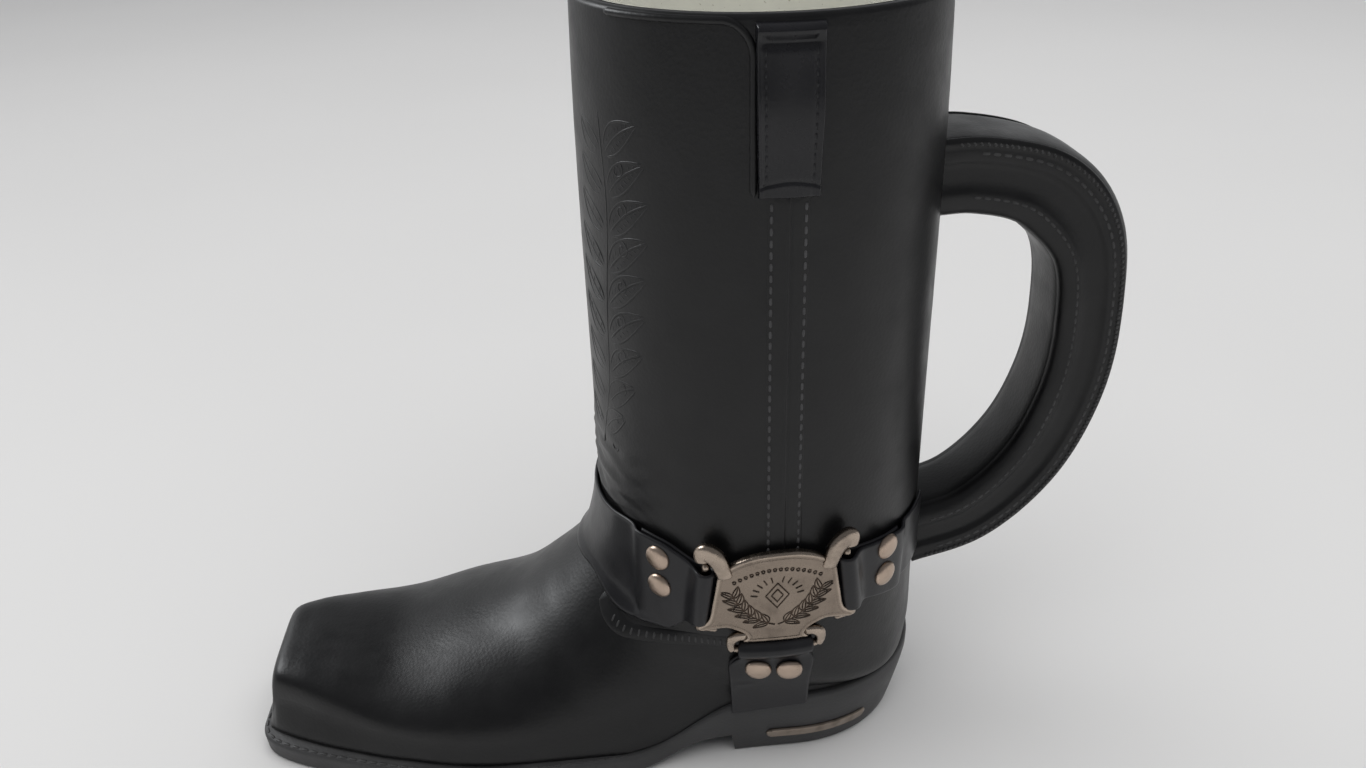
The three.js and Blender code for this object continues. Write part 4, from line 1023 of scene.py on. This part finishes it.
def lower_strap(name, side):
    on_left = side > 0
    width = LOWER_STRAP_WIDTH if on_left else STRAP_RING_WIDTH
    bar_z = LOW_BAR_Z if on_left else HARNESS_Z - RING_RADIUS
    length = bar_z - LOWER_STRAP_END_Z
    # Both layers run to the end.
    line = strap_end(on_left, length - 0.5, RING_REST)[:-1]

    def place(x, out, share):
        past_fold = smooth((x - 4) / 5)
        broad = mix(width, width * LOWER_STRAP_BROAD / LOWER_STRAP_WIDTH, past_fold)
        along = np.maximum(0, x) / length
        shift = LOWER_STRAP_SHIFT * past_fold if on_left else 0
        across = broad * mix(1, 0.96, along) * (share - 0.5) + shift
        # The end bends to hang straight down over the sole's rim, a little shorter at the back.
        past = LOWER_STRAP_HANG_Z - bar_z + x
        hang = np.where(past < HANG_BEND, np.maximum(0, past + HANG_BEND) ** 2 / (4 * HANG_BEND), past)
        slant = (PLATE_TILT + 0.1 * along) * across if on_left else 0 * across
        at = bent(HARNESS_PSI * side, across * side, bar_z - x + hang, out)
        return at - (hang - slant)[..., None] * np.array([0, 0, 1])

    piece = f"lower_strap_{name}"
    add_piece(piece, strap_mesh(line, 200, place), STRAP_BLACK, replaced=[piece])


# Pull straps, side seams and panel edges
PULL_LOW = node_box("pull_strap_left")[0][2]
PULL_CAD_WIDTH = 15
PULL_WIDTH = PULL_CAD_WIDTH * 1.07
PULL_TOP = HEIGHT - 1.6
PULL_TAPER = 0.91
SEAM_HIGH = node_box("side_seam_left")[1][2]
SEAM_WIDTH = 10
SEAM_BEHIND_PLATE = 6
PANEL_CORNER = (7.5, 8.1)


def strip_mesh(psi, width, low, high, steps, profile, across_steps, taper=1):
    """A strip up the skin; profile gives how far each share of its width stands out, by height share."""
    t = np.linspace(0, 1, steps)[:, None]
    shares = np.linspace(0, 1, across_steps)[None]
    across = (shares - 0.5) * width * mix(taper, 1, t)
    out = profile(t, shares)
    z = mix(low, high, t)
    under = bent(psi, across[:, ::-1], z, np.full_like(out, 0.05))
    return capped(np.concatenate([bent(psi, across, z, out), under], 1))


def pull_profile(t, share):
    """A doubled strap: padded edges with a stitched channel, a rolled fold at the top."""
    edge = np.minimum(share, 1 - share)
    channel = -0.28 * bell(edge, 0.14, 0.04)
    bow = 0.9 * np.sin(math.pi * smooth(t)) ** 2 * (1 - 0.55 * np.clip(edge / 0.5, 0, 1))
    roll = bell(t, 0.955, 0.03) * smooth(edge / 0.1)
    neck = -0.7 * bell(t, 0.89, 0.025) * smooth((edge - 0.05) / 0.15)
    rim = 0.4 * bell(edge, 0.055, 0.03)
    seam = -0.35 * bell(t, 0.07 + 0.035 * np.sin(math.pi * share), 0.012)
    ends = np.sqrt(np.clip(np.minimum(t / 0.012, (1 - t) / 0.02), 0, 1))
    return (1.6 + channel + bow + roll + neck + seam + rim) * domed(edge / 0.05) * ends + 0.1


def pull_strap(name, side):
    piece = f"pull_strap_{name}"
    psi = 90 * side
    shape = strip_mesh(psi, PULL_WIDTH, PULL_LOW, PULL_TOP, 150, pull_profile, 61, PULL_TAPER)
    add_piece(piece, shape, PULL_BLACK, replaced=[piece])
    t = np.linspace(0.1, 0.87, 60)
    rows = []
    for share in (0.14, 0.86):
        out = pull_profile(t, np.full_like(t, share)) + 0.05
        across = (share - 0.5) * PULL_WIDTH * mix(PULL_TAPER, 1, t)
        z = mix(PULL_LOW, PULL_TOP, t)
        rows.append(skin_row(psi, across, z, out, pitch=2.3, length=1.7, radius=0.36))
    add_piece(f"pull_strap_stitches_{name}", merged(rows), STRAP_BLACK)


def seam_profile(t, share):
    """A flat seam strip with soft edges and a shallow joint down its middle."""
    side = smooth(np.minimum(share, 1 - share) / 0.2)
    joint = 0.4 * bell(share, 0.5, 0.05) - 0.3 * bell(share, 0.56, 0.03)
    ends = smooth(t / 0.07) * smooth((1 - t) / 0.01)
    return (0.3 + joint) * side * ends + 0.06


def side_seam(name, side):
    """The seam strip with a row of stitches along each edge; on the left it runs down behind the plate."""
    piece = f"side_seam_{name}"
    psi = 90 * side
    low = node_box(piece)[0][2] - (SEAM_BEHIND_PLATE if side > 0 else 0)
    shape = strip_mesh(psi, SEAM_WIDTH, low, SEAM_HIGH + 2, 60, seam_profile, 41)
    add_piece(piece, shape, BLACK, replaced=[piece])
    z = np.linspace(SEAM_HIGH - 0.5, low + 1, 80)
    rows = [skin_row(psi, across, z, 0.34, pitch=2.9, length=2.0, radius=0.42) for across in (-4.1, 4.1)]
    add_piece(f"side_seam_stitches_{name}", merged(rows), SEAM_STITCH)


def panel_edge(name, side):
    """The front panel's turned edge, round its top corner and down beside the pull strap."""
    x = -PULL_CAD_WIDTH / 2 - 0.8
    top = HEIGHT - 1.3
    wide, tall = PANEL_CORNER
    turn = np.linspace(90, 0, 16) * DEG
    corner = [(x - wide + wide * math.cos(t), top - tall + tall * math.sin(t)) for t in turn]
    line = even_steps(np.array([(x - 40, top), *corner, (x, PULL_LOW)]), 220)
    add_piece(f"panel_edge_{name}", bead(90 * side, line * [side, 1], 1.9, 0.8), BLACK)


# Harness plate
def plate_out(x):
    """The plate is flatter than the shaft, so it stands further off the skin towards its arms."""
    return PLATE_LIFT + (BAR_OUT - PLATE_LIFT) * 0.9 * (x / BAR_ACROSS) ** 2


def on_plate(across, z, out):
    """A place on the plate, which sits a little tilted on the boot."""
    return bent(HARNESS_PSI, across, z + PLATE_TILT * np.asarray(across, float), out)


PLATE_SIDE = BAR_ACROSS - fold_radius(BAR_RADIUS) - STRAP / 2 - JOINT - 0.1
STRAP_LOW = HARNESS_Z - STRAP_END_WIDTH / 2
STRAP_HIGH = HARNESS_Z + STRAP_END_WIDTH / 2
LUG_CLEAR = JOINT + 1.7
PLATE_TOP = HARNESS_Z + PLATE_HEIGHT / 2
PLATE_BOTTOM = HARNESS_Z - PLATE_HEIGHT / 2
PLATE_FACE = PLATE_THICKNESS - 0.3
# Darkness of the face's film; the rim left without it is partly wear and partly a painted highlight.
WEAR_AND_RIM_HIGHLIGHT_FILM = 0.44
PLATE_BEVEL = 1.1
ENGRAVED_WIDTH = 0.2
SIDE_HIGH = PLATE_SIDE + bar_lean(STRAP_HIGH)
SIDE_LOW = PLATE_SIDE + bar_lean(STRAP_LOW)
NECK = LOWER_STRAP_WIDTH / 2


def plate_outline():
    """The plate's outline as (across, z) from the middle of its crest round one side and back."""
    half = [
        (0, PLATE_TOP + 0.9),
        (PLATE_SIDE * 0.3, PLATE_TOP + 0.5),
        (PLATE_SIDE * 0.55, PLATE_TOP - 0.9),
        (PLATE_SIDE * 0.72, PLATE_TOP - 2.6),
        (SIDE_HIGH - 2.4, PLATE_TOP - 3.2),
        (SIDE_HIGH - 0.4, PLATE_TOP - 3.7),
        (SIDE_HIGH, STRAP_HIGH - 0.8),
        (PLATE_SIDE + 0.1, HARNESS_Z),
        (SIDE_LOW + 0.2, STRAP_LOW + 3.6),
        (SIDE_LOW + 2.7, STRAP_LOW + 1.4),
        (SIDE_LOW + 3.3, STRAP_LOW + 0.3),
        (SIDE_LOW + 2.3, STRAP_LOW - 0.7),
        (SIDE_LOW - 1.6, STRAP_LOW + 0.2),
        (NECK + 3.0, STRAP_LOW + 0.8),
        (NECK + 0.2, STRAP_LOW - 0.4),
        (NECK - 1.7, STRAP_LOW - 2.0),
        (NECK - 2.2, PLATE_BOTTOM + 1.6),
        (NECK - 1.2, PLATE_BOTTOM + 0.1),
        (NECK - 2.6, PLATE_BOTTOM - 0.3),
        (0, PLATE_BOTTOM - 0.3),
    ]
    right = curve_through(half, 170)
    return np.vstack([right, right[-2:0:-1] * [-1, 1]])


def plate_engraving():
    """Lines of a generic laurel: two sprigs, a beaded arc over them, a small lozenge and rays round it."""
    z = HARNESS_Z
    stem = curve_through([(0.5, z - 8.6), (4.6, z - 6.8), (9.4, z - 2.2), (12.6, z + 4.2)], 60)
    half = [stem[::4]]
    for k in range(6):
        root = stem[6 + 9 * k]
        ahead = unit(stem[7 + 9 * k] - root)
        beside = np.array([-ahead[1], ahead[0]])
        for way in (-1, 1):
            tip = root + ahead * 3.3 + beside * way * 2.8
            half += [line[::3] for line in leaf(root, tip, 1.7, 0)]
    for x in 0.75 + 1.5 * np.arange(8):
        half.append(spiral((x, z + 11.2 - 0.03 * x * x), 0, 360, 0.42, 0.42, 9))
    for size in (1, 0.5):
        half.append(np.array([(0, z + 2 + 4.4 * size), (3.1 * size, z + 2), (0, z + 2 - 4.4 * size)]))
    for deg in 14 + 17 * np.arange(5):
        ray = np.array([math.sin(deg * DEG), math.cos(deg * DEG)])
        half.append(np.array([ray * 5.4, ray * 7.0]) + [0, z + 1.6])
    return half + [line * [-1, 1] for line in half]


def distance_to_lines(points, lines):
    """Distance of each point from the nearest of several lines."""
    best = np.full(len(points), 1e9)
    for line in lines:
        for p, q in zip(line, line[1:]):
            run = q - p
            t = np.clip(((points - p) @ run) / max(run @ run, 1e-9), 0, 1)
            best = np.minimum(best, np.linalg.norm(points - p - t[:, None] * run, axis=1))
    return best


def plate_relief(p, edge):
    """How deep the engraving is at each point, 0 to 1: a bordering groove and the laurel inside it."""
    border = 0.5 * bell(edge, 1.6, 0.24)
    laurel = bell(distance_to_lines(p, plate_engraving()), 0, ENGRAVED_WIDTH)
    return np.maximum(border, laurel * smooth((edge - 1.4) / 0.6))


def plate_band(line, out, half_width, half_thick):
    """A flattened arm of the plate along (across, z) points, out from the skin."""
    count = 60
    path = curve_through(line, count)
    share = np.linspace(0, 1, count)
    ends = np.sqrt(np.clip(np.minimum(share, 1 - share) / 0.06, 0.03, 1))
    wide = np.interp(share, np.linspace(0, 1, len(half_width)), half_width) * ends
    high = np.interp(share, np.linspace(0, 1, len(out)), out)
    side = directions(path)[1]
    turn = full_turn(18)
    c, s = (np.sign(v) * np.abs(v) ** 0.7 for v in (np.cos(turn), np.sin(turn)))
    place = path[:, None] + side[:, None] * (wide[:, None] * c[None])[..., None]
    lift = high[:, None] + half_thick * ends[:, None] * s[None]
    return capped(on_plate(place[..., 0], place[..., 1], lift))


def rod(line, radius):
    """A round rod along a line with domed ends."""
    along = unit(np.gradient(line, axis=0))
    helper = unit(np.cross(along, np.tile([0.31, 0.52, 0.79], (len(line), 1))))
    other = np.cross(along, helper)
    turn = full_turn(16)
    ring = helper[:, None] * np.cos(turn)[None, :, None] + other[:, None] * np.sin(turn)[None, :, None]
    rings = [line[0] - along[0] * radius * 0.7 + ring[0] * radius * 0.6]
    rings += [p + r * radius for p, r in zip(line, ring)]
    rings += [line[-1] + along[-1] * radius * 0.7 + ring[-1] * radius * 0.6]
    return closed_rings(rings, line[0] - along[0] * radius, line[-1] + along[-1] * radius)


def plate_arms():
    """The horns over the side bars, the lugs at the lower bar's ends and the bars themselves."""
    arms = []
    bar_high = BAR_ACROSS + bar_lean(STRAP_HIGH)
    low_z = STRAP_LOW - 1.0
    bar_low = BAR_ACROSS + bar_lean(low_z)
    root_out = float(plate_out(SIDE_HIGH - 2)) + 1.2
    horn = np.array([
        (SIDE_HIGH - 2.3, STRAP_HIGH - 2.0),
        (SIDE_HIGH - 1.2, STRAP_HIGH + 1.8),
        (SIDE_HIGH + 0.5, STRAP_HIGH + 5.2),
        (bar_high - 0.5, STRAP_HIGH + 6.8),
        (bar_high + 0.5, STRAP_HIGH + 5.4),
        (bar_high + 0.2, STRAP_HIGH + 2.6),
    ])
    horn_out = [root_out, root_out + 0.3, BAR_OUT + 0.4, BAR_OUT + 0.6, BAR_OUT + 0.4, BAR_OUT]
    lug = np.array([
        (NECK - 2.6, PLATE_BOTTOM + 2.2),
        (NECK + 0.2, PLATE_BOTTOM + 2.4),
        (NECK + 1.9, PLATE_BOTTOM + 0.9),
        (NECK + 2.1, LOW_BAR_Z + 0.6),
        (NECK + 1.3, LOW_BAR_Z - 0.5),
    ])
    lug_out = [2.9, BAR_OUT + 0.3, BAR_OUT + 0.5, BAR_OUT + 0.2, BAR_OUT]
    foot_out = np.linspace(BAR_OUT, float(plate_out(SIDE_LOW)) + 1.0, 8)
    for arm in (-1, 1):
        arms.append(plate_band(horn * [arm, 1], horn_out, [2.1, 2.1, 2.5, 2.7, 2.5, 1.8], 1.7))
        arms.append(plate_band(lug * [arm, 1], lug_out, [1.5, 1.5, 1.5, 1.4, 1.2], 1.3))
        z = np.linspace(STRAP_HIGH + 1.5, low_z, 30)
        arms.append(rod(on_plate(arm * (BAR_ACROSS + bar_lean(z)), z, BAR_OUT), BAR_RADIUS))
        across = np.linspace(bar_low, SIDE_LOW - 1.6, 8)
        arms.append(rod(on_plate(arm * across, np.linspace(low_z, STRAP_LOW, 8), foot_out), 0.8))
    reach = NECK + LUG_CLEAR - 0.8
    arms.append(rod(on_plate(np.linspace(-reach, reach, 30), LOW_BAR_Z, BAR_OUT), BAR_RADIUS))
    return arms


def inside_loop(points, loop):
    x, y = points[:, 0], points[:, 1]
    hits = np.zeros(len(points), bool)
    for (ax, ay), (bx, by) in zip(loop, np.roll(loop, -1, 0)):
        crosses = (ay > y) != (by > y)
        hits ^= crosses & (x < (bx - ax) * (y - ay) / (by - ay if by != ay else 1e-9) + ax)
    return hits


def plate_surface(loop, spacing):
    """Flat triangles over the inside of a loop, and each point's distance from the loop."""
    outline = [np.vstack([loop, loop[:1]])]
    low, high = loop.min(0), loop.max(0)
    gx, gz = np.meshgrid(np.arange(low[0], high[0], spacing), np.arange(low[1], high[1], spacing))
    grid = np.stack([gx.ravel(), gz.ravel()], -1)
    grid[:, 0] += np.where(np.round((grid[:, 1] - low[1]) / spacing) % 2 == 1, spacing / 2, 0)
    grid = grid[inside_loop(grid, loop)]
    grid = grid[distance_to_lines(grid, outline) > spacing * 0.6]
    points = [Vector(p) for p in np.vstack([loop, grid])]
    edges = [(i, (i + 1) % len(loop)) for i in range(len(loop))]
    verts, _, faces, *_ = geometry.delaunay_2d_cdt(points, edges, [], 1, 1e-6)
    flat = np.array([tuple(v) for v in verts])
    return flat, [tuple(f) for f in faces], distance_to_lines(flat, outline)


def slab(front, back, faces):
    """A closed plate between a front and a back that share their faces, with walls round the edge."""
    count = len(front)
    edges = dict.fromkeys((a, b) for f in faces for a, b in zip(f, f[1:] + f[:1]))
    walls = [(a, b, b + count, a + count) for a, b in edges if (b, a) not in edges]
    behind = [tuple(i + count for i in f[::-1]) for f in faces]
    return np.vstack([front, back]), faces + behind + walls


def harness_plate():
    flat, faces, edge = plate_surface(plate_outline(), 0.17)
    depth = plate_relief(flat, edge)
    out = PLATE_FACE - 0.8 * (1 - domed(edge / PLATE_BEVEL)) - 0.34 * depth
    lift = plate_out(flat[:, 0])
    front, back = (on_plate(flat[:, 0], flat[:, 1], at) for at in (lift + out, lift))
    shape = merged([slab(front, back, faces), *plate_arms()])
    piece = add_piece("harness_plate", shape, BRONZE, ["harness_plate"], 55)
    # The face keeps a thin dark film that is left off the rim and the arms: partly wear, partly a painted
    # highlight on the rim.
    ink_and_highlight_film = np.zeros(len(shape[0]))
    ink_and_highlight_film[: len(flat)] = np.maximum(depth, WEAR_AND_RIM_HIGHLIGHT_FILM * smooth((edge - 0.4) / 0.9))
    piece.data.attributes.new("ink_and_highlight_film", "FLOAT", "POINT").data.foreach_set("value", ink_and_highlight_film)


# Ring, rivets and heel plate
RIVET_PROFILE = [(0.01, 1), (0.3, 0.955), (0.55, 0.85), (0.75, 0.69), (0.88, 0.5)]
RIVET_PROFILE += [(0.95, 0.32), (0.99, 0.12), (1, -0.1), (1, -0.2)]


def harness_ring():
    top = bent(-HARNESS_PSI, 0.0, HARNESS_Z + RING_RADIUS, RING_REST)
    low = bent(-HARNESS_PSI, 0.0, HARNESS_Z - RING_RADIUS, RING_REST)
    up = unit(top - low)
    facing = skin_normal(np.array(-HARNESS_PSI), np.array(HARNESS_Z))
    facing = unit(facing - up * (facing @ up))
    across = np.cross(up, facing)
    turn = full_turn(120)
    tube = full_turn(20)
    spoke = np.cos(turn)[:, None] * across + np.sin(turn)[:, None] * up
    rings = (
        (top + low) / 2
        + spoke[:, None] * (RING_RADIUS + RING_WIRE * np.cos(tube))[None, :, None]
        + facing * (RING_WIRE * np.sin(tube))[None, :, None]
    )
    shape = closed_rings(np.concatenate([rings, rings[:1]]))
    add_piece("harness_ring", shape, BRONZE, ["harness_ring"])


def rivets():
    """A domed head with a rolled rim on every rivet of the frame."""
    turn = full_turn(40)[:, None]
    for node in sorted(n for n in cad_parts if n.startswith("rivet_")):
        middle = np.mean(node_box(node), axis=0)
        normal = skin_normal(azimuth_of(middle), middle[2])
        side = unit(np.cross(normal, [0.0, 0.0, 1.0]))
        spoke = (side * np.cos(turn) + np.cross(side, normal) * np.sin(turn)) * RIVET_RADIUS
        rings = [middle + normal * RIVET_HEIGHT * (h - 0.4) + spoke * r for r, h in RIVET_PROFILE]
        add_piece(node, capped(rings), COPPER, [node])


def heel_plate():
    """A bare bar with rounded ends and a soft bevel on the heel's left side."""
    low, high = node_box("heel_plate")
    middle = (low + high) / 2
    reach, _, half_high = (high - low) / 2
    turn = np.linspace(-90, 90, 14) * DEG
    end = np.stack([reach - half_high + half_high * np.cos(turn), half_high * np.sin(turn)], -1)
    loop = even_steps(np.vstack([end, -end, end[:1]]), 161)[:-1]
    flat, faces, edge = plate_surface(loop, 0.4)
    x = middle[0] + flat[:, 0]
    z = middle[2] + flat[:, 1]
    # The wall under the bar, where the sole's outline has been drawn in by the heel's taper
    by = sole_wall_in(x, z)
    drawn_back = HEEL_ROUND_X + (x - HEEL_ROUND_X) / (1 - by / (HEEL_END_X - HEEL_ROUND_X))
    half = sole_half(np.where(x > HEEL_ROUND_X, drawn_back, x)) * (1 - by / HEEL_HALF)
    out = 0.3 + 0.65 * domed(edge / 0.45) - 0.14 * bell(edge, 0.85, 0.14)
    front, back = (np.stack([x, -half - off, z], -1) for off in (out, -0.2))
    add_piece("heel_plate", slab(front, back, faces), HEEL_METAL, ["heel_plate"], 60)


# Lines that are tooled or engraved: curls and leaves
def spiral(centre, start, end, first, last, count):
    turn = np.linspace(start, end, count) * DEG
    r = mix(first, last, np.linspace(0, 1, count) ** 0.8)
    return np.stack([centre[0] + r * np.cos(turn), centre[1] + r * np.sin(turn)], -1)


def leaf(base, tip, width, veins):
    """The two edges and the midrib of a leaf from its base to its tip, then its veins."""
    along = tip - base
    side = np.array([-along[1], along[0]]) / np.linalg.norm(along)
    t = np.linspace(0, 1, 40)
    rib = base + along * t[:, None] + side * (width * 0.18 * np.sin(math.pi * t))[:, None]
    swell = width * np.sin(math.pi * t**0.75) ** 0.9
    lines = [rib + side * swell[:, None] / 2, rib - side * swell[:, None] / 2, rib]
    for k in range(veins):
        s = 0.16 + 0.66 * k / max(1, veins - 1)
        at = base + along * s + side * width * 0.18 * math.sin(math.pi * s)
        span = width * math.sin(math.pi * min(1, s + 0.1) ** 0.75) * 0.42
        for way in (-1, 1):
            reach = at + side * way * span + along * 0.09
            lines.append(mix(at, reach, np.linspace(0.12, 1, 10)[:, None]))
    return lines


def tooling():
    """Two leafy branches up the front of the shaft in low relief, with small curls between their leaves."""
    strong, fine = [], []
    stem = curve_through([(15, 104), (22, 126), (24, 152), (27, 180), (25, 206)], 120)
    for side in (-1, 1):
        strong.append(stem * [side, 1])
        for k in range(9):
            root = stem[8 + 12 * k]
            reach = 17 + 8 * math.sin(math.pi * (k + 0.6) / 9.5)
            for way, length, width, veins in ((1, 0.8 * reach, 7, 8), (-1, 0.7 * reach, 6, 4)):
                tip = root + length * np.array([way * 0.88, 0.62])
                lines = [line * [side, 1] for line in leaf(root + [way * 1.2, 0.8], tip, width, veins)]
                strong += lines[:3]
                fine += lines[3:]
            fine.append(spiral(root + [6.2, -2.4], 120, -330, 2.7, 0.7, 40) * [side, 1])
    beads = [bead(0, line, 0.8, 0.11) for line in strong] + [bead(0, line, 0.6, 0.09, 6) for line in fine]
    add_piece("shaft_tooling", merged(beads), BLACK)


def vamp_seam(name, side):
    """The lapped seam between vamp and quarter, below the front strap, with stitches across it."""
    places = [(25, 57.4), (30, 52.6), (35.5, 49.6), (41, 49.2), (54, 49.8), (68, 50.8), (78, 51.6)]
    line = curve_through([(side * arc(psi), z) for psi, z in places], 120)
    add_piece(f"vamp_seam_{name}", bead(0, line, 4.6, 0.4, 12), BLACK)
    across, z = even_steps(line, 25)[4:].T
    psi = across / arc(1)
    upward = skin_point(psi, z + 1) - skin_point(psi, z - 1)
    row = stitches(bent(0, across, z, 0.34), upward, skin_normal(psi, z), 2.3, 0.4)
    add_piece(f"vamp_seam_stitches_{name}", row, STITCH_BLACK)


# Putting it together
vessel()
bore()
sole()
welt_stitches()
handle()
handle_stitches()
handle_whipping()
front_strap()
for side_name, side_sign in (("left", 1), ("right", -1)):
    for build in (rear_strap, lower_strap, pull_strap, side_seam, panel_edge, vamp_seam):
        build(side_name, side_sign)
harness_plate()
harness_ring()
rivets()
heel_plate()
tooling()


# Studio: a pale floor, soft light from above and the photograph's camera
FLOOR_REACH = 4.0
ROOM_DIM = (0.17, 0.173, 0.18, 1)
WALL_PALE = (0.78, 0.79, 0.8, 1)


def floor():
    n = Nodes(bpy.data.materials.new("floor"))
    n.colour(n.ramp(n.noise(1.2, 3), [(0.3, (0.74, 0.74, 0.745)), (0.7, (0.78, 0.78, 0.785))]))
    n.shader.inputs["Roughness"].default_value = 0.7
    n.shader.inputs["Specular IOR Level"].default_value = 0.25
    corners = [(x * FLOOR_REACH, y * FLOOR_REACH, 0) for x, y in ((-1, -1), (1, -1), (1, 1), (-1, 1))]
    mesh = bpy.data.meshes.new("floor")
    mesh.from_pydata(corners, [], [(0, 1, 2, 3)])
    mesh.materials.append(n.owner)
    piece = add_object("floor", mesh)


def area_light(name, place, towards, size, watts, colour):
    data = bpy.data.lights.new(name, "AREA")
    data.shape = "RECTANGLE"
    data.size, data.size_y = size
    data.energy = watts
    data.color = colour
    lamp = add_object(name, data)
    lamp.location = place
    lamp.rotation_euler = (Vector(towards) - Vector(place)).to_track_quat("-Z", "Y").to_euler()
    return lamp


def room():
    """A dim even room with a pale wall behind the stein."""
    world = bpy.data.worlds.new("room")
    n = Nodes(world)
    split = n.add("ShaderNodeSeparateXYZ")
    n.join(n.coordinates["Generated"], split.inputs["Vector"])
    wall = n.add("ShaderNodeMath", operation="MULTIPLY")
    # The wall fills the view towards +Y and fades out upwards.
    for axis, start, end, socket in (("Y", 0.1, 0.85, 0), ("Z", 0.6, 0.05, 1)):
        share = n.add("ShaderNodeMapRange", From_Min=start, From_Max=end)
        n.join(split.outputs[axis], share.inputs["Value"])
        n.join(share.outputs["Result"], wall.inputs[socket])
    shade = n.add("ShaderNodeMix", data_type="RGBA", A=ROOM_DIM, B=WALL_PALE)
    n.join(wall.outputs["Value"], shade.inputs["Factor"])
    n.join(shade.outputs["Result"], n.tree.nodes["Background"].inputs["Color"])
    bpy.context.scene.world = world


def lights():
    """The ceiling lights the room softly, and the window only shows as a sheen on the glaze."""
    ceiling = area_light("ceiling", (0.1, -0.15, 2.1), (0.1, -0.15, 0), (3.6, 3.4), 64, (1, 0.99, 0.97))
    ceiling.visible_glossy = False
    window = area_light("window", (-1.12, 0.56, 0.86), (0, 0, 0.08), (0.8, 0.65), 11, (0.96, 0.98, 1))
    window.visible_diffuse = False


CAMERA_PLACE = np.array([-43.0, -296.4, 273.1])
CAMERA_YAW, CAMERA_PITCH, CAMERA_ROLL = -3.93, 28.13, -1.8
CAMERA_LENS = 29.55


def camera():
    yaw, pitch, roll = CAMERA_YAW * DEG, CAMERA_PITCH * DEG, CAMERA_ROLL * DEG
    ahead = Vector((-math.sin(yaw) * math.cos(pitch), math.cos(yaw) * math.cos(pitch), -math.sin(pitch)))
    level = Vector((math.cos(yaw), math.sin(yaw), 0))
    above = level.cross(ahead)
    right = level * math.cos(roll) + above * math.sin(roll)
    up = above * math.cos(roll) - level * math.sin(roll)
    turn = Matrix((right, up, -ahead)).transposed().to_4x4()
    data = bpy.data.cameras.new("camera")
    data.sensor_width = 36
    data.lens = CAMERA_LENS
    data.clip_start = 0.01
    eye = add_object("camera", data)
    eye.matrix_world = Matrix.Translation(Vector(CAMERA_PLACE * MM)) @ turn
    bpy.context.scene.camera = eye


floor()
room()
lights()
camera()
bpy.context.scene.view_settings.view_transform = "Standard"
